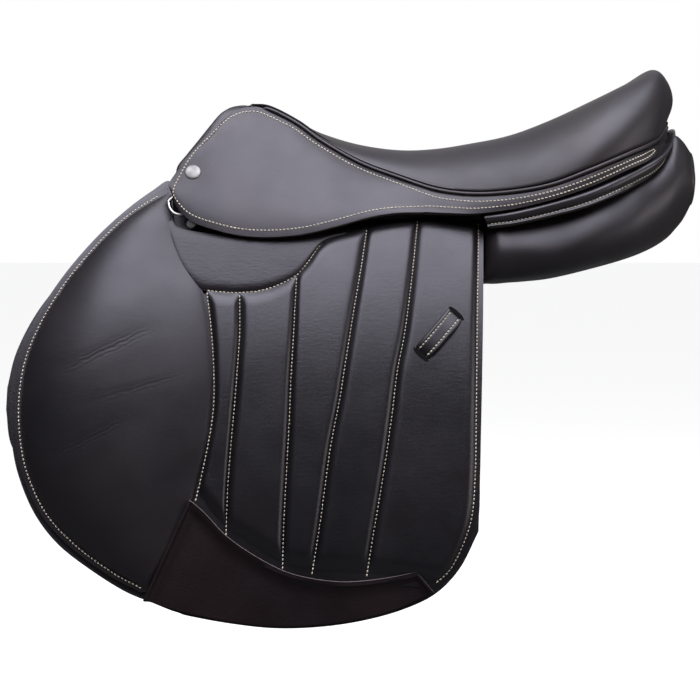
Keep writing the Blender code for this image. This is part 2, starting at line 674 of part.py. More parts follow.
# Quilt: its sewn lines from top to bottom
QUILT_LINES = [
    [(-174, 3), (-168, -26), (-165, -56), (-164, -85), (-166, -110), (-170, -134), (-176, -156),
     (-181, -174)],
    [(-145, 2), (-144, -30), (-145, -58), (-147, -89), (-149, -118), (-150, -145), (-151, -173),
     (-153, -200)],
    [(-95, 17), (-97, -22), (-98, -58), (-100, -94), (-101, -128), (-103, -163), (-104, -196), (-106, -229)],
    [(-36, 48), (-41, 10), (-46, -30), (-53, -68), (-59, -104), (-66, -146), (-74, -190), (-82, -235)],
    [(10, 58), (5, 14), (-1, -28), (-8, -70), (-14, -112), (-21, -154), (-29, -196), (-36, -237)],
    [(69, 58), (66, 20), (64, -20), (62, -64), (61, -108), (60, -150), (56, -190), (23, -241)],
]
QUILT_TOP = [
    [(-174, 3), (-166, 3), (-159, 2.5), (-152, 2), (-145, 2)],
    [(-145, 2), (-131, 3), (-118, 6), (-106, 11), (-95, 17)],
    [(-95, 17), (-84, 30), (-75, 43), (-60, 47), (-36, 48)],
    [(-36, 48), (-25, 51), (-13, 54), (-2, 56), (10, 58)],
    [(10, 58), (25, 59), (40, 60), (55, 59), (69, 58)],
]
QUILT_CROSS = [0.0, 0.72, 1.0, 0.72]
QUILT_ROWS = 8
PATCH_TOP = mm([
    (-184, -182), (-172, -191), (-153, -206), (-128, -223), (-104, -234), (-81, -240), (-56, -243),
    (-34, -243), (-12, -243), (6, -243), (19, -245),
])
PATCH_HEM = mm([
    (-213, -249), (-186, -263), (-155, -270), (-125, -274), (-98, -275), (-72, -274), (-48, -271),
    (-26, -266), (-4, -259), (10, -252), (21, -247.5),
])
KEEPER_CENTRE = mm((30, -34))
KEEPER_LENGTH = 0.046
KEEPER_WIDTH = 0.016
KEEPER_SLOPE = math.radians(48)


def flap(tag, side, hinge):
    """The big leather that carries everything below the hinge line."""
    net = rows_between(refine(FLAP_TOP, 2), refine(FLAP_HEM, 2), 9)
    sheet("flap_" + tag, net, 0.0, FLAP_LEATHER, side, DARK_LEATHER, hinge)


def sweat_flap(tag, side):
    """The thin flap sewn to the panel, between it and the girth straps."""
    net = rows_between(SWEAT_TOP, SWEAT_HEM, 9)
    sheet("sweat_flap_" + tag, net, SWEAT_IN, SWEAT_OUT, side, DARK_LEATHER)


def knee_roll(tag, side, hinge):
    """The stuffed block at the front of the flap, in its own leather."""
    net = rows_between(ROLL_FRONT, ROLL_REAR, 9)
    across = np.linspace(0.0, 1.0, net.shape[1])
    swell = np.sin(math.pi * across ** 0.85) ** 0.75
    height = ROLL_EDGE + ROLL_HEIGHT * np.array(ROLL_SHARE)[:, None] * swell
    height[[0, -1]] = ROLL_EDGE
    low = np.full(height.shape, COVER_BASE)
    sheet("knee_roll_" + tag, net, low, low + height, side, DARK_LEATHER, hinge)


def quilt_net():
    """Columns of the quilt in the side view, and how full each one is."""
    lines = [mm(line) for line in QUILT_LINES]
    fade = (1 - np.linspace(0.0, 1.0, QUILT_ROWS))[:, None] ** 3
    columns, fullness = [], []
    for channel in range(len(lines) - 1):
        for step, full in enumerate(QUILT_CROSS):
            share = step / len(QUILT_CROSS)
            line = lines[channel] * (1 - share) + lines[channel + 1] * share
            line = line + fade * (mm(QUILT_TOP[channel][step]) - line[0])
            columns.append(line)
            fullness.append(full)
    columns.append(lines[-1])
    fullness.append(0.0)
    return np.array(columns), np.array(fullness)


def flap_quilt(tag, side, hinge):
    """The padded cover behind the knee roll, sewn through in channels."""
    net, fullness = quilt_net()
    down = np.linspace(0.0, 1.0, QUILT_ROWS)
    ends = np.sin(math.pi * np.clip(0.08 + 0.84 * down, 0, 1)) ** 0.4
    ends[[0, -1]] = 0.0
    height = QUILT_SEAM + QUILT_CROWN * fullness[:, None] * ends[None, :]
    low = np.full(height.shape, COVER_BASE)
    sheet("flap_quilt_" + tag, net, low, low + height, side, DARK_LEATHER, hinge)


def flap_patch(tag, side, hinge):
    """The smooth wear patch along the hem."""
    net = rows_between(PATCH_TOP, PATCH_HEM, 4)
    sheet("flap_patch_" + tag, net, COVER_BASE, COVER_BASE + PATCH_LEATHER, side, WEAR_LEATHER, hinge)


def strap_keeper(tag, side, hinge):
    """The strap keeper: a short strip sewn down along both long edges and raised between them."""
    along = np.array((math.cos(KEEPER_SLOPE), math.sin(KEEPER_SLOPE)))
    over = np.array((-along[1], along[0]))
    a = np.linspace(-0.5, 0.5, 5)[:, None, None] * KEEPER_LENGTH
    b = np.linspace(-0.5, 0.5, 7)[None, :, None]
    net = KEEPER_CENTRE + a * along + b * KEEPER_WIDTH * over
    rise = KEEPER_RISE * np.cos(math.pi * b[..., 0]) ** 0.6 * np.ones((5, 1))
    foot = COVER_BASE + QUILT_SEAM + QUILT_CROWN + 0.3 * LAYER_GAP
    low = foot + rise
    sheet("strap_keeper_" + tag, net, low, low + KEEPER_LEATHER, side, STRAP_LEATHER, hinge)


# Girth straps: a web over the tree for each, then a strap hinged where it is sewn on
GIRTH_WEBS = {"front": (-0.047, -0.021), "rear": (-0.0155, 0.036)}
BILLETS = {"front": -0.034, "middle": -0.003, "rear": 0.0235}
WEB_LOWER = 0.064          # below this the web runs out into the straps' layer
WEB_TUCK = 0.003           # how much deeper it still lies there


def rail_section(x):
    """The right rail at a distance along the saddle: its edges and middle, and where they face."""
    rows = slice(6 * TREE_STEPS, 11 * TREE_STEPS + 1)
    net, out = tree_net[rows], tree_out[rows]
    spots = [[np.interp(x, net[:, k, 0], net[:, k, n]) for n in range(3)] for k in range(3)]
    away = [[np.interp(x, net[:, k, 0], out[:, k, n]) for n in range(3)] for k in range(3)]
    spots, away = np.array(spots), np.array(away)
    spots[:, 0] = x
    away[:, 0] = 0.0
    return spots, away / np.linalg.norm(away, axis=1, keepdims=True)


def girth_web(tag, start, end):
    """One strap of webbing over the rails and down both sides to the girth straps."""
    net = []
    over = half_tree + 2.6 * LAYER_GAP + WEB_THICKNESS
    strap_top = BILLET_TOP + 2 * LAYER_GAP
    for x in np.linspace(start, end, 3):
        spots, away = rail_section(x)
        lie = (spots + over * away)[::-1]
        crown = lie[0] + (0.0, -0.004, 0.001)
        heights = (WEB_LOWER, 0.5 * (WEB_LOWER + strap_top), strap_top)
        drop = on_side([(x, z) for z in heights], BILLET_OUT - WEB_TUCK * np.array((1.0, 0.5, 0.0)))
        right = np.concatenate([[crown], lie, drop])
        centre = [(x, share * crown[1], crown[2]) for share in (-0.5, 0.0, 0.5)]
        net.append(np.concatenate([right[::-1] * (1.0, -1.0, 1.0), centre, right]))
    net = np.array(net)
    out = normals(net)
    if out[1, net.shape[1] // 2, 2] < 0:
        out = -out
    shell("girth_web_" + tag, net, -WEB_THICKNESS, 0.0, WEBBING, out=out)


def billet_axis(side):
    """Where the girth straps bend: the middle of their thickness, at the stitching."""
    middle = 0.5 * (BILLET_IN + BILLET_OUT)
    return np.array((0.0, side * (side_width(BILLET_TOP) + middle), BILLET_TOP + 0.002))


def billet(name, x, side, hinge):
    """One girth strap with a pointed tip, its lowest stretch flat."""
    tip = BILLET_TOP - BILLET_LENGTH
    flat_top = tip + 0.080
    heights = np.concatenate([np.linspace(BILLET_TOP, flat_top, 7), [tip + 0.012, tip]])
    half = np.full(len(heights), 0.5 * BILLET_WIDTH)
    half[-1] = 0.25 * BILLET_WIDTH
    net = np.stack([np.stack([x + half * s, heights], axis=-1) for s in (-1.0, 0.0, 1.0)])
    low, high = on_side(net, BILLET_IN), on_side(net, BILLET_OUT)
    for face in (low, high):
        slope = (face[:, -1, 1] - face[:, -3, 1]) / (tip - flat_top)
        face[:, -2, 1] = face[:, -3, 1] + slope * (heights[-2] - flat_top)
    between(name, to_side(low, side), to_side(high, side), STRAP_LEATHER, hinge)


# Tree points: flexible tips that carry the arch down each side, between sweat flap and panel
POINT_CENTRE = mm([(-180, 57), (-182, 48), (-186, 34), (-190, 10), (-195, -18)])
POINT_START = mm(71.1)


def tree_point(tag, side):
    """One tip, from under the foot of the arch down along the panel."""
    half = 0.5 * POINT_WIDTH
    net = np.stack([POINT_CENTRE + (half * s, 0.0) for s in (-1.0, 0.0, 1.0)])
    low, high = on_side(net, POINT_IN), on_side(net, POINT_OUT)
    shift = POINT_START - low[:, 0, 1]
    low[:, 0, 1] += shift
    high[:, 0, 1] += shift
    between("tree_point_" + tag, to_side(low, side), to_side(high, side), POINT_PLASTIC)


# Panels: stuffed cushions on each side of the channel. Each ring runs from the channel's top edge,
# out over the top, down the outside and back along the bearing face. Front rings lie on the flap's
# curve: (x, top, bottom, thickness).
PANEL_FRONT = [
    (-330, -46, -82, 8), (-300, 2, -108, 13), (-260, 32, -116, 17), (-222, 43, -116, 20),
]
PANEL_RINGS = [
    (-188, (40, 66), (60, 54), 46, 0, -104, 22, (50, 46)),
    (-150, (37, 80), (58, 55), 46, 0, -86, 26, (40, 58)),
    (-110, (36, 82), (57, 55), 46, 8, -62, 30, (37, 56)),
    (-66, (34, 84), (56, 56), 46, 12, -36, 36, (36, 52)),
    (-20, (33, 86), (55, 72), 48, 20, -8, 52, (36, 48)),
    (24, (33, 86), (60, 74), 50, 26, 4, 62, (36, 44)),
    (60, (34, 86), (66, 75), 50, 28, 8, 66, (37, 42)),
    (88, (34, 86), (72, 76), 50, 28, 11, 66, (37, 40)),
]
PANEL_HOLLOW = 2.5          # the outside between its edges stays this far inside the flap's curve
PANEL_SEWN = -4.5           # its lower edge lies so much further out, where the sweat flap is sewn on
PANEL_REAR = [
    (108, (36, 88), (86, 79), (113, 64), (127, 42), (114, 16), (72, 13), (38, 40)),
    (132, (37, 90), (90, 85), (119, 67), (134, 44), (117, 19), (72, 15), (38, 41)),
    (162, (38, 98), (88, 96), (118, 75), (135, 52), (117, 25), (74, 22), (38, 46)),
    (200, (38, 114), (80, 112), (106, 91), (124, 66), (106, 38), (70, 36), (38, 60)),
    (228, (39, 118), (60, 117), (86, 101), (103, 82), (88, 54), (64, 52), (40, 74)),
    (244, (41, 119), (60, 119), (78, 107), (92, 90), (82, 63), (61, 62), (42, 84)),
    (253, (46, 133), (58, 134), (71, 123), (80, 101), (75, 75), (58, 75), (47, 95)),
    (262, (50, 128), (59, 129), (68, 119), (74, 102), (70, 86), (59, 86), (51, 104)),
    (267, (56, 116), (60, 117), (65, 112), (68, 104), (66, 96), (60, 96), (56, 104)),
]


def panel_rings():
    """Every ring of the right-hand panel, seven points each, from front to back."""
    rings = []
    for x, top, bottom, thick in PANEL_FRONT:
        middle = 0.5 * (top + bottom)
        span = top - bottom
        edges = ((top, 0), (middle, PANEL_HOLLOW), (bottom, PANEL_SEWN))
        outside = [(x, PANEL_OUT - dip * MM, z) for z, dip in edges]
        inside = [(x, PANEL_OUT - thick * MM, z) for z in (bottom + 0.1 * span, middle, top - 0.14 * span)]
        inside.append((x, PANEL_OUT - 0.5 * thick * MM, top - 0.02 * span))
        ring = [inside[2], inside[3]] + outside + inside[:2]
        rings.append([(x * MM, side_width(z * MM) + off, z * MM) for x, off, z in ring])
    for x, inner_top, middle_top, top, middle, bottom, thick, inner in PANEL_RINGS:
        ring = [(x, *inner_top), (x, *middle_top)]
        for z, dip in ((top, 0), (middle, PANEL_HOLLOW), (bottom, PANEL_SEWN)):
            ring.append((x, (side_width(z * MM) + PANEL_OUT) / MM - dip, z))
        low_z = bottom + 0.18 * (inner[1] - bottom)
        ring += [(x, (side_width(low_z * MM) + PANEL_OUT) / MM - 0.6 * thick, low_z), (x, *inner)]
        rings.append(mm(ring).tolist())
    for x, *ring in PANEL_REAR:
        rings.append(mm([(x, y, z) for y, z in ring]).tolist())
    return np.array(rings)


def panel(tag, side):
    """One panel, smooth around."""
    around = np.swapaxes(refine(np.swapaxes(panel_rings(), 0, 1), 2, loop=True), 0, 1)
    loft("panel_" + tag, to_side(around, side), DARK_LEATHER)


# Small metal: saddle nails on the skirts, dees in their tabs and studs at the points
NAIL_PLACE = mm((-190, 76.5, 112.5))
DEE_CENTRE_X = -0.199
DEE_TOP = 0.087
DEE_PLANE = 0.0815
DEE_PLAY = 0.0007
TAB_WIDTH = 0.005
TAB_LEATHER = 0.0018
STUD_PLACE = mm((-187, 71, 66))
STUD_REACH = 0.013


def dee_ring(tag, side, hinge):
    """A wire dee, straight along its top."""
    curve = bpy.data.curves.new("dee_ring_" + tag, "CURVE")
    curve.dimensions = "3D"
    half = 0.5 * DEE_WIDTH
    corner = 0.2 * DEE_WIDTH
    wire = [(-half + corner, 0.0), (half - corner, 0.0), (half - 0.3 * corner, -0.3 * corner)]
    angles = np.linspace(0.0, -math.pi, 7)
    wire += [(half * math.cos(a), -corner + (DEE_DROP - corner) * math.sin(a)) for a in angles]
    wire.append((-half + 0.3 * corner, -0.3 * corner))
    spline = curve.splines.new("POLY")
    spline.points.add(len(wire) - 1)
    for point, (x, z) in zip(spline.points, wire):
        point.co = (x, 0.0, z, 1.0)
    spline.use_cyclic_u = True
    curve.bevel_depth = DEE_WIRE
    curve.bevel_resolution = 1
    ring = bpy.data.objects.new("dee_ring_" + tag, curve)
    bpy.context.collection.objects.link(ring)
    curve.materials.append(NICKEL)
    ring.parent = hinge


def dee_tab(tag, side):
    """The leather loop that holds the dee to the foot of the arch."""
    hole = DEE_WIRE + DEE_PLAY
    outer = hole + TAB_LEATHER
    inner = RAIL_HALF_WIDTH + half_tree + SEAM_GAP
    angles = np.linspace(-0.5 * math.pi, 0.5 * math.pi, 9)
    loop = [(DEE_PLANE + outer * math.cos(a), DEE_TOP + outer * math.sin(a)) for a in angles]
    loop += [(inner, DEE_TOP + outer + 0.001), (inner - 0.002, DEE_TOP + outer)]
    loop += [(inner - 0.0012, DEE_TOP - outer * 0.2), (DEE_PLANE - 0.002, DEE_TOP - outer)]
    start = DEE_CENTRE_X - 0.5 * TAB_WIDTH
    tab = prism("dee_tab_" + tag, [(start, side * y, z) for y, z in loop], (TAB_WIDTH, 0, 0), STRAP_LEATHER)
    bore_foot = (start - MM, side * DEE_PLANE, DEE_TOP)
    bore, faces = turned([(hole, 0.0), (hole, TAB_WIDTH + 2 * MM)], bore_foot, (1, 0, 0), 12)
    cut(tab, add_mesh("tab_bore_" + tag, bore, faces, STRAP_LEATHER))


def saddle_nail(tag, side, skirt_net, skirt_out):
    """The domed nail through the front of the skirt, square to the leather."""
    away = np.linalg.norm(skirt_net - to_side(NAIL_PLACE, side), axis=2)
    near = np.unravel_index(np.argmin(away), away.shape)
    foot = skirt_net[near] + LAYER_GAP * skirt_out[near]
    points, faces = turned(domed(NAIL_RADIUS, NAIL_HEIGHT, 3), foot, skirt_out[near], 14)
    add_mesh("saddle_nail_" + tag, points, faces, NICKEL)


def point_stud(tag, side):
    """The stud at the foot of the arch: a stem with a domed head."""
    neck = STUD_REACH - STUD_HEAD
    profile = [(STUD_STEM, 0.0), (STUD_STEM, neck)]
    profile += [(radius, neck + height) for radius, height in domed(STUD_RADIUS, STUD_HEAD)]
    points, faces = turned(profile, to_side(STUD_PLACE, side), (0, side, 0), 10)
    add_mesh("point_stud_" + tag, points, faces, NICKEL)


for web_name, (web_start, web_end) in GIRTH_WEBS.items():
    girth_web(web_name, web_start, web_end)

for side, tag in ((-1.0, "left"), (1.0, "right")):
    flap_hinge = empty("flap_hinge_" + tag, to_side(HINGE_FRONT, side))
    lip_hinge = empty("lip_hinge_" + tag, to_side(HINGE_FRONT, side), flap_hinge)
    catch_hinge = empty("catch_hinge_" + tag, (catch_x, side * bar_middle, catch_z))
    dee_hinge = empty("dee_hinge_" + tag, (DEE_CENTRE_X, side * DEE_PLANE, DEE_TOP))
    stirrup_bar(tag, side)
    stirrup_catch(tag, side, catch_hinge)
    catch_pin(tag, side)
    tree_point(tag, side)
    skirt_net, skirt_out = skirt(tag, side)
    skirt_lip(tag, side, lip_hinge)
    flap(tag, side, flap_hinge)
    knee_roll(tag, side, flap_hinge)
    flap_quilt(tag, side, flap_hinge)
    flap_patch(tag, side, flap_hinge)
    strap_keeper(tag, side, flap_hinge)
    sweat_flap(tag, side)
    panel(tag, side)
    for billet_name, billet_x in BILLETS.items():
        strap_hinge = empty("billet_hinge_%s_%s" % (billet_name, tag), billet_axis(side))
        billet("billet_%s_%s" % (billet_name, tag), billet_x, side, strap_hinge)
    dee_ring(tag, side, dee_hinge)
    dee_tab(tag, side)
    saddle_nail(tag, side, skirt_net, skirt_out)
    point_stud(tag, side)
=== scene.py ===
# Jumping saddle with forward-cut flaps, quilted behind the knee rolls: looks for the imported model.
# +X runs back to the cantle, -Y is the near (left) side, +Z is up, all in metres.
# Every pair is worked out once for the right side and mirrored in the plane y = 0.
import math

import bmesh
import bpy
import numpy as np
from mathutils import Matrix


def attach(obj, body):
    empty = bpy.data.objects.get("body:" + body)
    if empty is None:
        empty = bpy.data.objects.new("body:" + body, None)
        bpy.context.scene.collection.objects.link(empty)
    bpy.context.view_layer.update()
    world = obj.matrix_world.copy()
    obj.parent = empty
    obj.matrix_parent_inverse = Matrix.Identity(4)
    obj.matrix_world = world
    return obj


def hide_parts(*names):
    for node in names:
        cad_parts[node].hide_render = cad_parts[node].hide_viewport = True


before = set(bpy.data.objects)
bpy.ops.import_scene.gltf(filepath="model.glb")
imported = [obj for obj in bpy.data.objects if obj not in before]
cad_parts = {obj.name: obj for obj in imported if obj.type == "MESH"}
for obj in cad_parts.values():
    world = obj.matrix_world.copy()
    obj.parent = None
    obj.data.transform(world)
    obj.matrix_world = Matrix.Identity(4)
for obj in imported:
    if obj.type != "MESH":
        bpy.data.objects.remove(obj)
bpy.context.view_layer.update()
MM = 0.001
SIDES = ((-1.0, "left"), (1.0, "right"))
scene = bpy.context.scene
scene.view_settings.view_transform = "Standard"

# Camera: it looks at the near side from a little above the flap's middle, through a long lens, as a
# shop takes such a picture
CAMERA_AWAY = 1.6
CAMERA_ABOVE = math.radians(4.0)
CAMERA_LENS, SENSOR_WIDTH = 85.7, 36.0
AIM = (-0.048, 0.0, -0.0576)
camera = bpy.data.objects.new("camera", bpy.data.cameras.new("camera"))
scene.collection.objects.link(camera)
camera.data.lens = CAMERA_LENS
camera.data.sensor_width = SENSOR_WIDTH
camera.location = (
    AIM[0],
    AIM[1] - CAMERA_AWAY * math.cos(CAMERA_ABOVE),
    AIM[2] + CAMERA_AWAY * math.sin(CAMERA_ABOVE),
)
camera.rotation_euler = (0.5 * math.pi - CAMERA_ABOVE, 0.0, 0.0)
scene.camera = camera

# Studio: one wide soft box overhead, weak ones beside the camera, behind and at the right, a room that
# is darker low down, and a white floor and background that the camera sees, and reflections in part
FLOOR_LEVEL, FLOOR_REACH = -0.50, 30.0
FLOOR_GLOW = 0.86
ROOM_DARK_BELOW, ROOM_FULL_ABOVE = 0.54, 0.95
ROOM_DARK, ROOM_FULL = 0.008, 0.44
# Each soft box: its name, its place, its size, its power in watts and its colour
SOFT_BOXES = (
    ("overhead", (-0.05, -0.50, 1.45), (1.8, 1.7), 66.0, (0.92, 0.92, 1.0)),
    ("beside_camera", (-0.9, -2.3, 0.9), (1.4, 1.4), 0.5, (1.0, 0.98, 0.98)),
    ("behind", (0.3, 2.2, 1.0), (1.6, 1.2), 3.0, (1.0, 0.98, 0.97)),
    ("right", (1.7, -0.7, 0.30), (1.0, 1.0), 11.0, (1.0, 0.95, 0.93)),
)
REFLECTED_WHITE = 0.08


def node(tree, kind, **values):
    """A shader node with its settings and unlinked inputs given by name."""
    made = tree.nodes.new("ShaderNode" + kind)
    for key, value in values.items():
        if hasattr(made, key):
            setattr(made, key, value)
        else:
            made.inputs[key.replace("_", " ")].default_value = value
    return made


def seen_white(tree):
    """1 for camera rays and rays through glass, and a part for reflections."""
    path = node(tree, "LightPath")
    part = node(tree, "Math", operation="MULTIPLY_ADD")
    part.inputs[1].default_value = REFLECTED_WHITE
    tree.links.new(path.outputs["Is Glossy Ray"], part.inputs[0])
    tree.links.new(path.outputs["Is Camera Ray"], part.inputs[2])
    whole = node(tree, "Math", operation="ADD", use_clamp=True)
    tree.links.new(part.outputs[0], whole.inputs[0])
    tree.links.new(path.outputs["Is Transmission Ray"], whole.inputs[1])
    return whole.outputs[0]


room = bpy.data.worlds.new("room")
scene.world = room
room.use_nodes = True
tree = room.node_tree
tree.nodes.clear()
where = node(tree, "TexCoord")
height = node(tree, "SeparateXYZ")
tree.links.new(where.outputs["Generated"], height.inputs[0])
shade = node(tree, "MapRange", From_Min=ROOM_DARK_BELOW, From_Max=ROOM_FULL_ABOVE, To_Min=ROOM_DARK,
             To_Max=ROOM_FULL)
tree.links.new(height.outputs["Z"], shade.inputs["Value"])
dim = node(tree, "Background", Color=(0.93, 0.94, 1.0, 1.0))
tree.links.new(shade.outputs[0], dim.inputs["Strength"])
white = node(tree, "Background", Color=(1.0, 1.0, 1.0, 1.0), Strength=1.0)
either = node(tree, "MixShader")
tree.links.new(seen_white(tree), either.inputs[0])
tree.links.new(dim.outputs[0], either.inputs[1])
tree.links.new(white.outputs[0], either.inputs[2])
out = node(tree, "OutputWorld")
tree.links.new(either.outputs[0], out.inputs["Surface"])

floor_mesh = bpy.data.meshes.new("floor")
corners = [(FLOOR_REACH * x, FLOOR_REACH * y, FLOOR_LEVEL) for x, y in ((-1, -1), (1, -1), (1, 1), (-1, 1))]
floor_mesh.from_pydata(corners, [], [(0, 1, 2, 3)])
floor = bpy.data.objects.new("floor", floor_mesh)
scene.collection.objects.link(floor)
paper = bpy.data.materials.new("white_paper")
paper.use_nodes = True
tree = paper.node_tree
tree.nodes.clear()
matt = node(tree, "BsdfDiffuse", Color=(0.10, 0.10, 0.10, 1.0))
half = node(tree, "BsdfDiffuse", Color=(0.40, 0.40, 0.40, 1.0))
glow = node(tree, "Emission", Color=(1.0, 1.0, 1.0, 1.0), Strength=FLOOR_GLOW)
both = node(tree, "AddShader")
tree.links.new(half.outputs[0], both.inputs[0])
tree.links.new(glow.outputs[0], both.inputs[1])
either = node(tree, "MixShader")
tree.links.new(seen_white(tree), either.inputs[0])
tree.links.new(matt.outputs[0], either.inputs[1])
tree.links.new(both.outputs[0], either.inputs[2])
out = node(tree, "OutputMaterial")
tree.links.new(either.outputs[0], out.inputs["Surface"])
floor_mesh.materials.append(paper)

for box_name, place, (wide, deep), power, tint in SOFT_BOXES:
    lamp = bpy.data.lights.new(box_name, "AREA")
    lamp.shape = "RECTANGLE"
    lamp.size, lamp.size_y = wide, deep
    lamp.energy = power
    lamp.color = tint
    stand = bpy.data.objects.new(box_name, lamp)
    scene.collection.objects.link(stand)
    away = np.array(AIM) - np.array(place)
    away /= np.linalg.norm(away)
    stand.location = place
    stand.rotation_euler = (math.acos(-away[2]), 0.0, math.atan2(-away[0], away[1]))


# Tree: the saddle's frame, beech veneers glued to a sprung loop, with two pressed steel plates riveted
# to the arch. Each row holds the outer and lower edge, the middle, and the inner and upper edge.
TREE_ROWS = [
    [(-155, 0, 155), (-139, 0, 157), (-118, 0, 153)],
    [(-161, 23, 147), (-143, 20, 149), (-123, 16, 146)],
    [(-174, 41, 126), (-157, 38, 131), (-138, 30, 134)],
    [(-187, 55, 105), (-170, 51, 114), (-148, 41, 125)],
    [(-199, 65, 82), (-182, 64, 99), (-149, 48, 117)],
    [(-186, 66, 58), (-167, 66, 80), (-138, 51, 113)],
    [(-118, 66, 60), (-118, 66, 84), (-112, 42, 121)],
    [(-62, 66, 60), (-62, 66, 84), (-66, 42, 115)],
    [(-20, 70, 72), (-22, 67, 88), (-26, 45, 105)],
    [(20, 77, 77), (20, 67, 90), (18, 50, 101)],
    [(64, 89, 80), (62, 76, 91), (60, 59, 99)],
    [(104, 106, 82), (100, 91, 94), (96, 73, 104)],
    [(146, 112, 90), (142, 98, 103), (138, 81, 116)],
    [(184, 103, 104), (179, 90, 119), (174, 75, 136)],
    [(211, 80, 122), (207, 70, 139), (202, 58, 156)],
    [(227, 44, 140), (225, 39, 159), (220, 33, 176)],
    [(232, 0, 147), (233, 0, 166), (230, 0, 184)],
]
TREE_THICKNESS = 0.009
TREE_FINE, TREE_COLUMNS = 8, 13
PLATE_FROM, PLATE_TO = 0.0054, 0.0070
PLATE_ROWS, PLATE_COLUMNS = 3, 7
RIVETS = 6
SHARP_ANGLE = math.radians(42)


def mm(rows):
    """Points written in millimetres, as metres."""
    return np.array(rows, float) * MM


def through(rows, count, loop=False):
    """A smooth curve through the rows at `count` even places: with neighbours a, b, c, d and a share t
    from b to c it is b + t/2 (c - a) + t^2/2 (2a - 5b + 4c - d) + t^3/2 (3b - 3c + d - a)."""
    rows = np.asarray(rows, float)
    last = len(rows) if loop else len(rows) - 1
    place = np.linspace(0, last, count, endpoint=not loop)
    low = np.minimum(place.astype(int), last - 1)
    t = (place - low).reshape((-1,) + (1,) * (rows.ndim - 1))
    if not loop:
        rows = np.concatenate([2 * rows[:1] - rows[1:2], rows, 2 * rows[-1:] - rows[-2:-1]])
        low = low + 1
    a, b, c, d = (rows[(low + step) % len(rows)] for step in (-1, 0, 1, 2))
    return b + 0.5 * t * (c - a + t * (2 * a - 5 * b + 4 * c - d + t * (3 * (b - c) + d - a)))


def finer_across(net, across, loop=False):
    """The same net with a smooth curve through each of its rows."""
    return np.swapaxes(through(np.swapaxes(net, 0, 1), across, loop), 0, 1)


def net_through(rows, along, across, loop=False):
    """A smooth net through a coarse one, made finer both ways."""
    return finer_across(through(rows, along, loop), across)


def facing_out(net, towards, loop=False):
    """Unit normals of a net, the cross product of its two directions, turned towards a point's side."""
    along = np.roll(net, -1, 0) - np.roll(net, 1, 0) if loop else np.gradient(net, axis=0)
    away = np.cross(along, np.gradient(net, axis=1))
    away /= np.maximum(np.linalg.norm(away, axis=2, keepdims=True), 1e-12)
    return away * (1.0 if (away * towards).sum() > 0 else -1.0)


def cells(rows, columns, loop=False):
    """The four corners of every cell of a grid of points."""
    count = np.arange(rows * columns).reshape(rows, columns)
    if loop:
        count = np.concatenate([count, count[:1]])
    return np.stack([count[:-1, :-1], count[1:, :-1], count[1:, 1:], count[:-1, 1:]], -1).reshape(-1, 4)


def solid(name, points, faces, finishes, which=None):
    """An object from points and four-cornered faces, turned to face outwards by the sign of its volume."""
    a, b, c, d = (points[faces[:, k]] for k in range(4))
    volume = (a * (np.cross(b, c) + np.cross(c, d))).sum()
    if volume < 0:
        faces = faces[:, ::-1]
    mesh = bpy.data.meshes.new(name)
    mesh.from_pydata(points.tolist(), [], faces.tolist())
    for finish in finishes:
        mesh.materials.append(finish)
    if which is not None:
        mesh.polygons.foreach_set("material_index", np.asarray(which, np.int32))
    made = bpy.data.objects.new(name, mesh)
    scene.collection.objects.link(made)
    mesh.shade_smooth()
    mesh.set_sharp_from_angle(angle=SHARP_ANGLE)
    return made


def skin(name, low, high, finish, edge=None, soft=0.0008, keep=None, loop=False):
    """A closed sheet between two nets of the same size. Its cut rim takes the edge finish and is rounded
    by a bevel, except between points marked in keep."""
    rows, columns = low.shape[:2]
    count = rows * columns
    under = cells(rows, columns, loop)
    places = np.arange(count).reshape(rows, columns)
    if loop:
        places = np.concatenate([places, places[:1]])
        rims = [places[:, 0], places[:, -1][::-1]]
    else:
        rims = [places[:, 0], places[-1], places[::-1, -1], places[0, ::-1]]
    runs = np.concatenate([np.stack([rim[:-1], rim[1:]], -1) for rim in rims])
    walls = np.concatenate([runs, runs[:, ::-1] + count], axis=1)
    faces = np.concatenate([under, under[:, ::-1] + count, walls])
    which = np.zeros(len(faces), int)
    which[2 * len(under):] = 0 if edge is None else 1
    points = np.concatenate([low.reshape(-1, 3), high.reshape(-1, 3)])
    made = solid(name, points, faces, [finish] if edge is None else [finish, edge], which)
    if keep is not None:
        kept = keep.ravel()
        runs = runs[~(kept[runs[:, 0]] & kept[runs[:, 1]])]
    if soft:
        mesh = made.data
        ends = np.empty(len(mesh.edges) * 2, np.int32)
        mesh.edges.foreach_get("vertices", ends)
        key = np.sort(ends.reshape(-1, 2), axis=1) @ (2 * count, 1)
        cut = np.sort(np.concatenate([runs, runs + count]), axis=1) @ (2 * count, 1)
        hit = np.isin(key, cut)
        weight = mesh.attributes.new("bevel_weight_edge", "FLOAT", "EDGE")
        weight.data.foreach_set("value", hit.astype(np.float32))
        sharp = mesh.attributes.get("sharp_edge")
        if sharp is not None:
            marks = np.empty(len(mesh.edges), bool)
            sharp.data.foreach_get("value", marks)
            sharp.data.foreach_set("value", marks & ~hit)
        round_off = made.modifiers.new("rounded_rim", "BEVEL")
        round_off.limit_method = "WEIGHT"
        round_off.width = soft
        round_off.segments = 3
        round_off.use_clamp_overlap = True
    return made


def fit(made, body, slot, *nodes):
    """The piece moves with a body and stands for its CAD nodes, which it hides; the slot is not used."""
    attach(made, body)
    if nodes:
        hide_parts(*nodes)
    return made


def finish_tree(name, roughness, metallic=0.0, specular=0.5):
    """A new material: its node tree and its shader, with constants on the shader's own sockets."""
    finish = bpy.data.materials.new(name)
    finish.use_nodes = True
    shader = finish.node_tree.nodes["Principled BSDF"]
    shader.inputs["Roughness"].default_value = roughness
    shader.inputs["Metallic"].default_value = metallic
    shader.inputs["Specular IOR Level"].default_value = specular
    return finish, finish.node_tree, shader


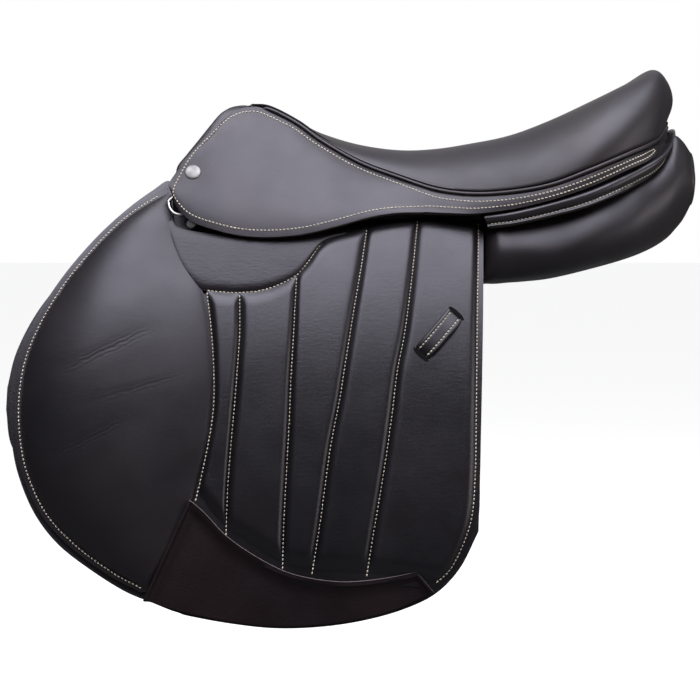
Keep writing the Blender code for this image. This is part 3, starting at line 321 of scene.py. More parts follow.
def placed(tree, stretch=(1.0, 1.0, 1.0), turn=(0.0, 0.0, 0.0)):
    """Object coordinates, stretched and turned."""
    where = node(tree, "TexCoord")
    mapping = node(tree, "Mapping")
    mapping.inputs["Scale"].default_value = stretch
    mapping.inputs["Rotation"].default_value = turn
    tree.links.new(where.outputs["Object"], mapping.inputs["Vector"])
    return mapping.outputs[0]


def clouds(tree, vector, scale, detail=2.0, rough=0.5, low=0.0, high=1.0, from_low=0.3, from_high=0.7):
    """Soft noise, spread between two values."""
    noise = node(tree, "TexNoise", Scale=scale, Detail=detail, Roughness=rough)
    tree.links.new(vector, noise.inputs["Vector"])
    spread = node(tree, "MapRange", From_Min=from_low, From_Max=from_high, To_Min=low, To_Max=high)
    tree.links.new(noise.outputs[0], spread.inputs["Value"])
    return spread.outputs[0]


def blend_colours(tree, share, first, second):
    """A colour between two, by a share."""
    mix = node(tree, "Mix", data_type="RGBA")
    mix.inputs[6].default_value = (*first, 1.0)
    mix.inputs[7].default_value = (*second, 1.0)
    tree.links.new(share, mix.inputs[0])
    return mix.outputs[2]


def bumped(tree, shader, layers, depth):
    """Relief from a weighted sum of heights, each layer a height and its weight."""
    total = None
    for value, weight in layers:
        term = node(tree, "Math", operation="MULTIPLY_ADD")
        tree.links.new(value, term.inputs[0])
        term.inputs[1].default_value = weight
        term.inputs[2].default_value = 0.0
        if total is not None:
            tree.links.new(total, term.inputs[2])
        total = term.outputs[0]
    bump = node(tree, "Bump", Strength=1.0, Distance=depth)
    tree.links.new(total, bump.inputs["Height"])
    tree.links.new(bump.outputs[0], shader.inputs["Normal"])


def wood():
    """Beech veneer: long pale and darker streaks with short dark rays, thinly varnished."""
    finish, tree, shader = finish_tree("beech_veneer", 0.5)
    along = placed(tree, (6.0, 60.0, 60.0))
    streaks = clouds(tree, along, 3.0, 4.0, 0.6)
    rays = clouds(tree, placed(tree, (60.0, 300.0, 300.0)), 4.0, 2.0, 0.5, from_low=0.55, from_high=0.8)
    tone = blend_colours(tree, streaks, (0.50, 0.33, 0.18), (0.34, 0.20, 0.10))
    tree.links.new(tone, shader.inputs["Base Color"])
    bumped(tree, shader, [(streaks, 0.5), (rays, 0.5)], 0.0002)
    return finish


def metal(name, colour, second, roughness, brushed=(40.0, 40.0, 900.0), depth=0.00002):
    """Worked metal: two close tones in soft patches and fine lines from the wheel or file."""
    finish, tree, shader = finish_tree(name, roughness, 1.0)
    patches = clouds(tree, placed(tree), 90.0, 3.0)
    tree.links.new(blend_colours(tree, patches, colour, second), shader.inputs["Base Color"])
    lines = clouds(tree, placed(tree, brushed), 3.0, 3.0, 0.6)
    gloss = clouds(tree, placed(tree), 60.0, 2.0, 0.5, roughness - 0.06, roughness + 0.08)
    tree.links.new(gloss, shader.inputs["Roughness"])
    bumped(tree, shader, [(lines, 1.0)], depth)
    return finish


def dress(finish, *names):
    """A CAD node that stays shown gets this finish on all its slots."""
    for name in names:
        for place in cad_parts[name].material_slots:
            place.material = finish


beech = wood()
steel = metal("zinc_plated_steel", (0.50, 0.50, 0.52), (0.38, 0.38, 0.40), 0.38)
right_rows = mm(TREE_ROWS)
whole_loop = np.concatenate([right_rows, right_rows[-2:0:-1] * (1.0, -1.0, 1.0)])
tree_net = net_through(whole_loop, TREE_FINE * len(whole_loop), TREE_COLUMNS, loop=True)
tree_out = facing_out(tree_net, (0.0, 0.0, 1.0), loop=True)
half_tree = 0.5 * TREE_THICKNESS * tree_out
fit(skin("tree", tree_net - half_tree, tree_net + half_tree, beech, soft=0.002, loop=True), "tree", "beech",
    "tree_frame")
arch = np.arange(-PLATE_ROWS * TREE_FINE, PLATE_ROWS * TREE_FINE + 1)
arch_net, arch_out = tree_net[arch][:, :PLATE_COLUMNS], tree_out[arch][:, :PLATE_COLUMNS]
for plate_name, sign in (("head_plate", 1.0), ("gullet_plate", -1.0)):
    near, far = arch_net + sign * PLATE_FROM * arch_out, arch_net + sign * PLATE_TO * arch_out
    plate = skin(plate_name + "_pressed", near, far, steel, soft=0.0005)
    fit(plate, "tree", "steel", plate_name)
dress(steel, *["plate_rivet_%d" % number for number in range(1, RIVETS + 1)])


# Stirrup bars, thumb catches and their pins: forged and filed steel, screwed to the rails of the tree;
# below them hang the tree points, flexible black nylon tips that lie in pockets of the panel
forged = metal("forged_steel", (0.46, 0.45, 0.44), (0.30, 0.30, 0.30), 0.34, (60.0, 60.0, 300.0), 0.00004)


def nylon():
    """Moulded black plastic with a fine dull texture."""
    finish, tree, shader = finish_tree("black_nylon", 0.55)
    tone = clouds(tree, placed(tree), 120.0, 3.0)
    tree.links.new(blend_colours(tree, tone, (0.020, 0.020, 0.021), (0.034, 0.034, 0.035)),
                   shader.inputs["Base Color"])
    bumped(tree, shader, [(clouds(tree, placed(tree), 2500.0, 1.0), 1.0)], 0.00003)
    return finish


black_nylon = nylon()
for side, tag in SIDES:
    dress(forged, "stirrup_bar_" + tag, "stirrup_catch_" + tag, "catch_pin_" + tag)
    dress(black_nylon, "tree_point_" + tag)


# Webbing and foam under the seat: flat jute straps over the tree and its rails, and a layer of foam
# glued on top, which the stretched cover presses down. Each is its CAD solid, merged and smoothed.
CREASE_ANGLE, CREASE = math.radians(38.0), 0.8
FLAT_ANGLE, SQUARE_ANGLE = math.radians(30), math.radians(40)
# Places along the saddle, and there how far the foam is pressed, its share of width, its shortening
FOAM_PRESSED = ((-0.15, 0.0, 0.05, 0.22), (0.005, 0.005, 0.007, 0.009))
FOAM_NARROWED = ((-0.04, 0.05), (1.0, 0.90))
FOAM_SHORTENED = ((0.15, 0.25), (0.0, 0.009))


def woven(name, light, dark, pitch):
    """Flat woven strap: ribs along and across at the pitch of the yarn, unbleached, slightly soiled."""
    finish, tree, shader = finish_tree(name, 0.85, specular=0.2)
    here = placed(tree)
    ribs = []
    for direction in ("X", "Y"):
        wave = node(tree, "TexWave", bands_direction=direction, Scale=0.16 / pitch, Distortion=0.6)
        wave.inputs["Detail Scale"].default_value = 2.0
        tree.links.new(here, wave.inputs["Vector"])
        ribs.append(wave.outputs["Fac"])
    soil = clouds(tree, here, 25.0, 3.0)
    tree.links.new(blend_colours(tree, soil, light, dark), shader.inputs["Base Color"])
    bumped(tree, shader, [(rib, 0.5) for rib in ribs], 0.0004)
    return finish


def open_cell():
    """Cream upholstery foam with fine open cells, yellowed in patches."""
    finish, tree, shader = finish_tree("seat_foam", 0.9, specular=0.2)
    tone = clouds(tree, placed(tree), 30.0, 3.0)
    tree.links.new(blend_colours(tree, tone, (0.55, 0.50, 0.38), (0.44, 0.38, 0.26)),
                   shader.inputs["Base Color"])
    bumped(tree, shader, [(clouds(tree, placed(tree), 900.0, 2.0), 1.0)], 0.0004)
    return finish


def smoothed_copy(name, finish, node_name, levels=2):
    """A new mesh from a CAD node: merged, its folded edges kept by creases, then subdivided."""
    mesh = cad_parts[node_name].data.copy()
    mesh.name = name
    mesh.materials.clear()
    mesh.materials.append(finish)
    work = bmesh.new()
    work.from_mesh(mesh)
    bmesh.ops.remove_doubles(work, verts=work.verts, dist=1e-6)
    bmesh.ops.recalc_face_normals(work, faces=work.faces)
    bmesh.ops.join_triangles(work, faces=work.faces, angle_face_threshold=FLAT_ANGLE,
                             angle_shape_threshold=SQUARE_ANGLE)
    crease = work.edges.layers.float.new("crease_edge")
    for edge in work.edges:
        if edge.is_manifold and edge.calc_face_angle(0.0) > CREASE_ANGLE:
            edge[crease] = CREASE
    work.to_mesh(mesh)
    work.free()
    made = bpy.data.objects.new(name, mesh)
    scene.collection.objects.link(made)
    mesh.shade_smooth()
    finer = made.modifiers.new("finer", "SUBSURF")
    finer.levels = finer.render_levels = levels
    return made


strap_web = woven("jute_webbing", (0.52, 0.46, 0.36), (0.40, 0.34, 0.25), 0.0016)
for web in ("seat_webbing", "girth_web_front", "girth_web_rear"):
    fit(smoothed_copy(web + "_woven", strap_web, web), "tree", "webbing", web)
foam = smoothed_copy("seat_foam_layer", open_cell(), "seat_foam")
places = np.empty(3 * len(foam.data.vertices))
foam.data.vertices.foreach_get("co", places)
places = places.reshape(-1, 3)
places[:, 2] -= np.interp(places[:, 0], *FOAM_PRESSED)
places[:, 1] *= np.interp(places[:, 0], *FOAM_NARROWED)
places[:, 0] -= np.interp(places[:, 0], *FOAM_SHORTENED)
foam.data.vertices.foreach_set("co", places.ravel())
fit(foam, "tree", "foam", "seat_foam")


# Panels: two long cushions of smooth leather stuffed with wool, one on each side of the spine, laced
# to the tree. The rings that make them are given in millimetres from the front to the back.
# Front rings, inside the flap's curve: place along, top, bottom, thickness
PANEL_FRONT = [
    (-330, -46, -82, 8), (-300, 2, -108, 13), (-260, 32, -116, 17), (-222, 43, -116, 20),
]
# Rings under the flap: place along, inner top, middle top, top, middle, bottom, thickness, inner side
PANEL_RINGS = [
    (-188, (40, 66), (60, 54), 46, 0, -104, 22, (50, 46)),
    (-150, (37, 80), (58, 55), 46, 0, -86, 26, (40, 58)),
    (-110, (36, 82), (57, 55), 46, 8, -62, 30, (37, 56)),
    (-66, (34, 84), (56, 56), 46, 12, -36, 36, (36, 52)),
    (-20, (33, 86), (55, 72), 48, 20, -8, 52, (36, 48)),
    (24, (33, 86), (60, 74), 50, 26, 4, 62, (36, 44)),
    (60, (34, 86), (66, 75), 50, 28, 8, 66, (37, 42)),
    (67, (34, 86), (69, 76), 50, 28, 9, 66, (37, 41)),
]
# Free rings behind the flap: place along, then seven points as half-width and height
PANEL_REAR = [
    (80, (35, 86), (80, 80), (104, 61), (119, 37), (113, 13), (72, 11), (37, 40)),
    (95, (35, 87), (86, 81), (110, 61), (124, 37), (114, 14), (72, 12), (37, 40)),
    (110, (36, 88), (90, 82), (114, 62), (128, 37), (115, 15), (72, 13), (38, 40)),
    (132, (37, 90), (93, 84), (117, 66), (131, 37), (117, 18), (72, 15), (38, 41)),
    (162, (38, 98), (92, 95), (118, 76), (132, 47), (118, 25), (74, 22), (38, 46)),
    (200, (38, 114), (83, 111), (107, 92), (121, 61), (108, 36), (71, 32), (38, 55)),
    (224, (39, 121), (64, 120), (94, 103), (107, 74), (95, 46), (66, 41), (39, 67)),
    (240, (42, 130), (59, 136), (84, 114), (96, 85), (84, 55), (62, 51), (41, 82)),
    (249, (45, 136), (60, 143), (77, 122), (88, 93), (78, 63), (60, 60), (44, 90)),
    (257, (48, 132), (60, 138), (73, 120), (80, 98), (72, 72), (59, 69), (48, 97)),
    (264, (52, 123), (60, 128), (67, 116), (73, 101), (68, 84), (59, 81), (51, 102)),
]
# How far down its height each point of a front ring lies, as a share
FRONT_DOWN = (0.14, 0.02, 0.0, 0.5, 1.0, 0.9, 0.5)
# The lowest inner point under the flap: its rise above the bottom and its depth, as shares
LOW_RISE, LOW_DEPTH = 0.18, 0.6
PANEL_OUT = -0.01405
PANEL_HOLLOW, PANEL_SEWN = 2.5, -4.5
INNER_TOP_EASED, RINGS_NOT_EASED = (0.0, 0.005, -0.004), 4
PANEL_ALONG, PANEL_AROUND = 170, 84
CUSHION_END, END_STEPS = 0.004, 8
SIDE_TOP, SIDE_SPREAD, SIDE_BEND, SIDE_TOP_LEVEL = 0.064, 0.098, 0.105, 0.090


def side_width(z):
    """Half-width of the flap's inner face: it grows with the logarithm of the depth below the top."""
    return SIDE_TOP + SIDE_SPREAD * np.log1p((SIDE_TOP_LEVEL - z) / SIDE_BEND)


def leather(name, dark, light, roughness=0.38, grain=1000.0, depth=0.00006, specular=0.42, folds=0.5):
    """Waxed cowhide: two close browns in wide soft clouds, round pebbled grain, finer pores, faint
    stretched folds, and a gloss that varies a little where it has been handled."""
    finish, tree, shader = finish_tree(name, roughness, specular=specular)
    # The reflections are tinted lilac: painted cool light in the gloss of every leather.
    shader.inputs["Specular Tint"].default_value = (0.93, 0.91, 1.0, 1.0)
    here = placed(tree)
    tone = clouds(tree, here, 11.0, 3.0, 0.5)
    tree.links.new(blend_colours(tree, tone, dark, light), shader.inputs["Base Color"])
    gloss = clouds(tree, here, 24.0, 4.0, 0.6, roughness - 0.05, roughness + 0.06)
    tree.links.new(gloss, shader.inputs["Roughness"])
    pebbles = node(tree, "TexVoronoi", Scale=grain, feature="F1")
    tree.links.new(here, pebbles.inputs["Vector"])
    pores = clouds(tree, here, 2.3 * grain, 2.0)
    creased = clouds(tree, placed(tree, (1.0, 1.0, 3.5)), 120.0, 4.0, 0.65)
    bumped(tree, shader, [(pebbles.outputs["Distance"], -0.5), (pores, 0.25), (creased, folds)], depth)
    return finish


dark_leather = leather("dark_leather", (0.0080, 0.0072, 0.0088), (0.0150, 0.0120, 0.0130))
cut_edge = leather("burnished_edge", (0.050, 0.040, 0.040), (0.085, 0.068, 0.064), 0.5, 600.0, 0.0001)
panel_leather = leather("panel_leather", (0.0090, 0.0078, 0.0090), (0.0165, 0.0130, 0.0135), 0.45)


def panel_rings():
    """Seven points a ring, from front to back: first along the flap's curve, then freely."""
    rings = []
    for x, top, bottom, thick in PANEL_FRONT:
        heights = [top - share * (top - bottom) for share in FRONT_DOWN]
        depths = (thick, 0.5 * thick, 0, PANEL_HOLLOW, PANEL_SEWN, thick, thick)
        rings.append([(x * MM, side_width(z * MM) + PANEL_OUT - dip * MM, z * MM)
                      for z, dip in zip(heights, depths)])
    for x, inner_top, middle_top, top, middle, bottom, thick, inner in PANEL_RINGS:
        ring = [(x, *inner_top), (x, *middle_top)]
        low = bottom + LOW_RISE * (inner[1] - bottom)
        spots = ((top, 0), (middle, PANEL_HOLLOW), (bottom, PANEL_SEWN), (low, LOW_DEPTH * thick))
        ring += [(x, (side_width(z * MM) + PANEL_OUT) / MM - dip, z) for z, dip in spots]
        rings.append(mm(ring + [(x, *inner)]).tolist())
    for x, *ring in PANEL_REAR:
        rings.append(mm([(x, y, z) for y, z in ring]).tolist())
    return np.array(rings)


def merged(made, distance):
    """Joins the points of a piece that lie closer together than a distance."""
    work = bmesh.new()
    work.from_mesh(made.data)
    bmesh.ops.remove_doubles(work, verts=work.verts, dist=distance)
    work.to_mesh(made.data)
    work.free()
    return made


def cushion(name, rings, finish):
    """A closed cushion through rings of points. Each end is a low cap: the last ring shrinks to its
    middle by the sine of a turn while it moves out by the cosine."""
    around = rings.shape[1]
    closing = np.sin(0.5 * math.pi * np.linspace(1.0, 0.0, END_STEPS + 1))[1:, None, None]
    caps = []
    for end, out in ((0, -CUSHION_END), (-1, CUSHION_END)):
        middle = rings[end].mean(axis=0)
        caps.append(middle + closing * (rings[end] - middle) + np.sqrt(1 - closing ** 2) * (out, 0.0, 0.0))
    rings = np.concatenate([caps[0][::-1], rings, caps[1]])
    points = np.swapaxes(rings, 0, 1).reshape(-1, 3)
    return merged(solid(name, points, cells(around, len(rings), loop=True), [finish]), 1e-6)


rings = panel_rings()
rings[len(PANEL_FRONT):-RINGS_NOT_EASED, 0] += INNER_TOP_EASED
panel_net = finer_across(through(rings, PANEL_ALONG), PANEL_AROUND, loop=True)
for side, tag in SIDES:
    panel = cushion("panel_cushion_" + tag, panel_net * (1.0, side, 1.0), panel_leather)
    fit(panel, "tree", "dark_leather", "panel_" + tag)


# Sweat flaps: one layer of plain leather sewn to the panel's lower edge, between the panel and the
# girth straps. The outline is given in the side view, then laid on the flap's curve.
SWEAT_TOP = mm([
    (-346, -80), (-340, -50), (-325, -17), (-303, 14), (-277, 45), (-252, 69), (-233, 79), (-220, 68),
    (-204, 49), (-150, 49), (-100, 49), (-50, 49), (0, 49), (36, 49), (58, 48), (66, 32),
])
SWEAT_HEM = mm([
    (-346, -98), (-340, -128), (-322, -150), (-298, -172), (-270, -189), (-243, -203), (-215, -213),
    (-190, -219), (-145, -226), (-96, -228), (-48, -222), (-8, -206), (28, -182), (52, -150), (65, 4),
])
SWEAT_LOW, SWEAT_HIGH = -0.0083, -0.0053
SWEAT_ROWS, SWEAT_COLUMNS = 120, 24


def on_side(xz, offset):
    """Points of the side view at a distance out from the flap's inner face."""
    return np.stack([xz[..., 0], side_width(xz[..., 1]) + offset, xz[..., 1]], axis=-1)


def ruled(first, last, across):
    """Straight columns from one line to another."""
    share = np.linspace(0.0, 1.0, across)[:, None]
    return first[:, None] * (1 - share) + last[:, None] * share


def layer(name, xz, low, high, side, *finishes, soft=0.0008):
    """A closed sheet over a net of the side view, between two levels out from the flap's inner face."""
    near, far = (on_side(xz, level) * (1.0, side, 1.0) for level in (low, high))
    return skin(name, near, far, *finishes, soft=soft)


sweat_xz = ruled(through(SWEAT_TOP, SWEAT_ROWS), through(SWEAT_HEM, SWEAT_ROWS), SWEAT_COLUMNS)
for side, tag in SIDES:
    sweat = layer("sweat_flap_leather_" + tag, sweat_xz, SWEAT_LOW, SWEAT_HIGH, side, dark_leather, cut_edge)
    fit(sweat, "tree", "dark_leather", "sweat_flap_" + tag)


# Girth straps: three a side, 25 mm wide, of oiled strap leather with a pointed tip, punched with
# holes for the girth's buckles
STRAP_MIDDLES = {"front": -0.034, "middle": -0.003, "rear": 0.0235}
STRAP_TOP, STRAP_LENGTH, STRAP_FLAT = 0.047, 0.245, 0.080
STRAP_WIDTH, STRAP_COLUMNS, CURVED_ROWS, FLAT_ROWS = 0.025, 5, 30, 22
STRAP_LOW, STRAP_HIGH = -0.0044, -0.0009
TIP_LENGTH, TIP_SHARE = 0.012, 0.5
HOLE_RADIUS, HOLE_PITCH, HOLES = 0.0022, 0.020, 8
FIRST_HOLE = 0.026
PUNCH_BEHIND, PUNCH_LENGTH = 0.03, 0.06


def billet_net(middle, level):
    """A strap's face, a few points across, drawn in at its tip, straight over its lowest stretch and on
    the flap's curve above that."""
    tip = STRAP_TOP - STRAP_LENGTH
    flat_top = tip + STRAP_FLAT
    down = np.linspace(STRAP_TOP, flat_top, CURVED_ROWS)
    down = np.concatenate([down, np.linspace(flat_top, tip, FLAT_ROWS)[1:]])
    half = 0.5 * STRAP_WIDTH * np.interp(down, (tip, tip + TIP_LENGTH), (TIP_SHARE, 1.0))
    x = middle + half[:, None] * np.linspace(-1.0, 1.0, STRAP_COLUMNS)
    y = side_width(down) + level
    ends = np.array((tip, flat_top))
    straight = np.interp(down, ends, side_width(ends) + level)
    y = np.where(down < flat_top, straight, y)
    y, z = (np.repeat(line[:, None], STRAP_COLUMNS, axis=1) for line in (y, down))
    return np.stack([x, y, z], axis=-1)


def rods(name, feet, direction, radius, length, sides=20):
    """Round rods side by side, as one mesh, to punch holes with."""
    turn = np.arange(sides) * 2 * math.pi / sides
    guide = np.array((0.0, 0.0, 1.0))
    first = np.cross(direction, guide)
    ring = radius * (np.cos(turn)[:, None] * first + np.sin(turn)[:, None] * guide)
    work = bmesh.new()
    for foot in feet:
        low = [work.verts.new(foot + spot) for spot in ring]
        high = [work.verts.new(foot + spot + length * direction) for spot in ring]
        work.faces.new(low)
        work.faces.new(high)
        for k in range(sides):
            work.faces.new((low[k], low[k - 1], high[k - 1], high[k]))
    bmesh.ops.recalc_face_normals(work, faces=work.faces)
    mesh = bpy.data.meshes.new(name)
    work.to_mesh(mesh)
    work.free()
    made = bpy.data.objects.new(name, mesh)
    scene.collection.objects.link(made)
    return made


def settle(made):
    """Applies the piece's modifiers to its mesh."""
    graph = bpy.context.evaluated_depsgraph_get()
    mesh = bpy.data.meshes.new_from_object(made.evaluated_get(graph))
    made.modifiers.clear()
    made.data = mesh
    return made


strap_leather = leather("strap_leather", (0.013, 0.011, 0.011), (0.024, 0.018, 0.016), 0.47, 800.0)
hole_heights = STRAP_TOP - STRAP_LENGTH + FIRST_HOLE + HOLE_PITCH * np.arange(HOLES)
for side, tag in SIDES:
    for strap_name, middle in STRAP_MIDDLES.items():
        low, high = (billet_net(middle, level) * (1.0, side, 1.0) for level in (STRAP_LOW, STRAP_HIGH))
        strap = skin("girth_strap_%s_%s" % (strap_name, tag), low, high, strap_leather, cut_edge, soft=0.0006)
        depth = side_width(hole_heights) - PUNCH_BEHIND
        feet = np.stack([np.full(HOLES, middle), side * depth, hole_heights], axis=1)
        punch = rods("punch", feet, np.array((0.0, side, 0.0)), HOLE_RADIUS, PUNCH_LENGTH)
        holes = strap.modifiers.new("holes", "BOOLEAN")
        holes.operation = "DIFFERENCE"
        holes.object = punch
        bpy.context.view_layer.update()
        settle(strap)
        bpy.data.objects.remove(punch)
        node_name = "billet_%s_%s" % (strap_name, tag)
        fit(strap, node_name, "strap_leather", node_name)


# Flaps: 4 mm saddle leather, cut forward for the knee, with a burnished rim. Straight columns run
# from the top or front edge to the hem.
FLAP_TOP = mm([
    (-341, -82), (-338, -61), (-330, -35), (-317, -8), (-298, 22), (-274, 52), (-250, 76), (-229, 93),
    (-214, 102), (-209, 80), (-205, 61), (-172, 53), (-131, 52), (-91, 52), (-52, 57), (-16, 62),
    (20, 66), (48, 66), (72, 62),
])
FLAP_HEM = mm([
    (-341, -96), (-339, -118), (-332, -149), (-317, -182), (-296, -208), (-268, -229), (-238, -247),
    (-214, -256.5), (-200, -262), (-192, -264.5), (-184, -267), (-150, -273), (-112, -277), (-74, -276),
    (-38, -271), (-4, -262), (24, -249), (45, -228), (61, -198),
])
FLAP_LEATHER = 0.004
COVER_BASE = 0.0049
FLAP_ROWS, FLAP_COLUMNS = 160, 60
flap_xz = ruled(through(FLAP_TOP, FLAP_ROWS), through(FLAP_HEM, FLAP_ROWS), FLAP_COLUMNS)
for side, tag in SIDES:
    flap = layer("flap_leather_" + tag, flap_xz, 0.0, FLAP_LEATHER, side, dark_leather, cut_edge, soft=0.0011)
    fit(flap, "flap_" + tag, "dark_leather", "flap_" + tag)


# Head of the flap and pocket leather: the flap's fixed head, nailed to the rail behind the stirrup
# bar, and the leather sewn over the front of the panel, round the tree point, below the arch
HEAD_TOP, HEAD_FOOT = mm([(-52, 80), (71, 80)]), mm([(-52, 56), (-10, 60), (30, 63.5), (71, 61)])
HEAD_OUT, HEAD_THICK, HEAD_BEND = -0.0006, 0.0014, 0.066
HEAD_ROWS, HEAD_COLUMNS, POCKET_ROWS, POCKET_COLUMNS = 60, 16, 60, 30
POCKET_TOP = mm([(-234, 76), (-229, 86), (-221, 94), (-212, 99), (-195, 99), (-163, 97)])
POCKET_FOOT = mm([(-234, 60), (-226, 50), (-214, 46), (-204, 44), (-188, 44), (-163, 44)])
POCKET_OUT, POCKET_SUNK, POCKET_THICK = -0.0014, -0.0030, 0.0026
POCKET_SINKS, ARCH_BEGINS = (-0.222, 0.012), (-0.216, 0.010)
ARCH_OUT = 0.0760


def run_of(line):
    """Distance run along a line, at each of its points."""
    return np.concatenate([[0.0], np.cumsum(np.linalg.norm(np.diff(line, axis=0), axis=1))])


def evenly(line, count):
    """The same line with points at equal steps along its length."""
    run = run_of(line)
    steps = np.linspace(0.0, run[-1], count)
    return np.stack([np.interp(steps, run, line[:, k]) for k in range(line.shape[1])], axis=1)


def eased(place, start_and_length):
    """A rise from 0 to 1 over a length from a start, with share t: 3t^2 - 2t^3."""
    start, length = start_and_length
    share = np.clip((place - start) / length, 0.0, 1.0)
    return share * share * (3 - 2 * share)


def pocket_width(xz):
    """Half-width of the pocket leather's outer face: it lies in front of the sweat flap at its front
    edge and behind the dee further back, and stays outside the plates of the arch."""
    x, z = xz[..., 0], xz[..., 1]
    free = side_width(z) + POCKET_OUT + POCKET_SUNK * eased(x, POCKET_SINKS)
    return free + eased(x, ARCH_BEGINS) * (np.maximum(free, ARCH_OUT) - free)


pocket_xz = ruled(through(POCKET_TOP, POCKET_ROWS), through(POCKET_FOOT, POCKET_ROWS), POCKET_COLUMNS)
pocket_out = pocket_width(pocket_xz)
head_xz = ruled(evenly(HEAD_TOP, HEAD_ROWS), evenly(HEAD_FOOT, HEAD_ROWS), HEAD_COLUMNS)
head_width = np.maximum(side_width(head_xz[..., 1]), side_width(HEAD_BEND)) + HEAD_OUT
for side, tag in SIDES:
    for name, xz, width, thick, soft in (("point_pocket_", pocket_xz, pocket_out, POCKET_THICK, 0.0006),
                                         ("flap_head_", head_xz, head_width, HEAD_THICK, 0.0004)):
        near, far = (np.stack([xz[..., 0], side * (width - deep), xz[..., 1]], axis=-1)
                     for deep in (thick, 0.0))
        fit(skin(name + tag, near, far, dark_leather, soft=soft), "tree", "dark_leather")


# Quilt: soft leather over foam behind the knee roll, sewn through in five channels with cream thread.
# Each line runs down a seam; the last is followed by a flat margin to the cut edge.
QUILT_SEAMS = [
    [(-174, 4), (-170, -21), (-167, -47), (-165, -80), (-166, -105), (-170, -130), (-175, -155),
     (-180, -176)],
    [(-145, 2), (-144, -30), (-145, -55), (-147, -89), (-150, -130), (-152, -165), (-153, -205)],
    [(-95, 17), (-97, -30), (-99, -72), (-100, -105), (-102, -147), (-104, -190), (-105, -233)],
    [(-32.5, 60), (-38.5, 22), (-46, -21), (-53, -64), (-57, -89), (-65, -130), (-73, -188),
     (-81, -238)],
    [(13, 68), (7.5, 22), (0, -30), (-7, -64), (-12, -101), (-19, -147), (-29, -204), (-35, -240)],
    [(67.5, 66), (65, 20), (63, -20), (61.5, -64), (60, -108), (58.5, -150), (54, -190), (38, -226),
     (20, -243)],
]
QUILT_MARGIN = [
    (71.8, 64), (69.7, 20), (67.8, -20), (66, -64), (64.3, -108), (62.8, -150), (59.5, -194), (42, -230),
    (23, -248),
]
# The cut above each channel, from seam to seam
QUILT_TOPS = [
    [(-174, 4), (-166, 3), (-159, 2.5), (-152, 2), (-145, 2)],
    [(-145, 2), (-131, 3), (-118, 6), (-106, 11), (-95, 17)],
    [(-95, 17), (-84, 30), (-75, 43), (-62, 53), (-32.5, 60)],
    [(-32.5, 60), (-22, 63), (-11, 65.5), (0, 67), (13, 68)],
    [(13, 68), (27, 69), (41, 69), (55, 68), (67.5, 66)],
]
QUILT_ROWS, CHANNEL_COLUMNS, MARGIN_COLUMNS = 120, 26, 4
SEAM_FINE, LINE_FINE = 12, 90
CUT_FADES = 4
# The crest seam is sewn over two channels and this many columns of the third
CREST_END = 16
SEAM_THICK, CHANNEL_CROWN = 0.0029, 0.0052
SHOULDER, END_SHOULDER, FOOT_SHOULDER, FOOT_FLAT = 0.0085, 0.012, 0.016, 0.011
STITCH_PITCH, STITCH_LENGTH, STITCH_RADIUS = 0.0034, 0.0024, 0.00056
STITCH_SLANT = math.radians(7.0)
# Each ring of a stitch: its place as a share of the half length, its thickness and its height as
# shares of the radius
STITCH_RINGS = ((-1.0, 0.45, -0.50), (-0.62, 0.90, 0.30), (0.0, 1.0, 0.55), (0.62, 0.90, 0.30),
                (1.0, 0.45, -0.50))


def rounded(share):
    """A quarter circle's rise from 0 to 1, flat beyond."""
    return np.sqrt(1.0 - (1.0 - np.clip(share, 0.0, 1.0)) ** 2)


def softly(share):
    """A rise from 0 to 1 that leaves at a slope of 2.4 and levels out: 1 - (1 - share)^2.4."""
    return 1.0 - (1.0 - np.clip(share, 0.0, 1.0)) ** 2.4


def quilt_plan():
    """Side-view net of the quilt, column by column, and each column's distance from its nearest seam at
    every row. Across a channel the share of column k of n is 0.5 - 0.5 cos(pi k / n), which sets the
    columns close beside the seams. Their tops follow the cut above, which fades with depth d as
    (1 - d)^4."""
    seams = [evenly(through(mm(seam), SEAM_FINE * len(seam)), QUILT_ROWS) for seam in QUILT_SEAMS]
    margin = evenly(through(mm(QUILT_MARGIN), LINE_FINE), QUILT_ROWS)
    fade = (1.0 - np.linspace(0.0, 1.0, QUILT_ROWS))[:, None] ** CUT_FADES
    columns, gaps = [], []
    for channel, top in enumerate(QUILT_TOPS):
        first, last = seams[channel], seams[channel + 1]
        width = np.linalg.norm(last - first, axis=1)
        crest = through(mm(top), CHANNEL_COLUMNS + 1)
        for step in range(CHANNEL_COLUMNS):
            share = 0.5 - 0.5 * math.cos(math.pi * step / CHANNEL_COLUMNS)
            line = first * (1 - share) + last * share
            top_spot = [np.interp(share, np.linspace(0, 1, len(crest)), crest[:, k]) for k in (0, 1)]
            columns.append(line + fade * (top_spot - line[0]))
            gaps.append(min(share, 1 - share) * width)
    for share in np.linspace(0.0, 1.0, MARGIN_COLUMNS + 1):
        columns.append(seams[-1] * (1 - share) + margin * share)
        gaps.append(np.zeros(QUILT_ROWS))
    return np.array(columns), np.array(gaps)


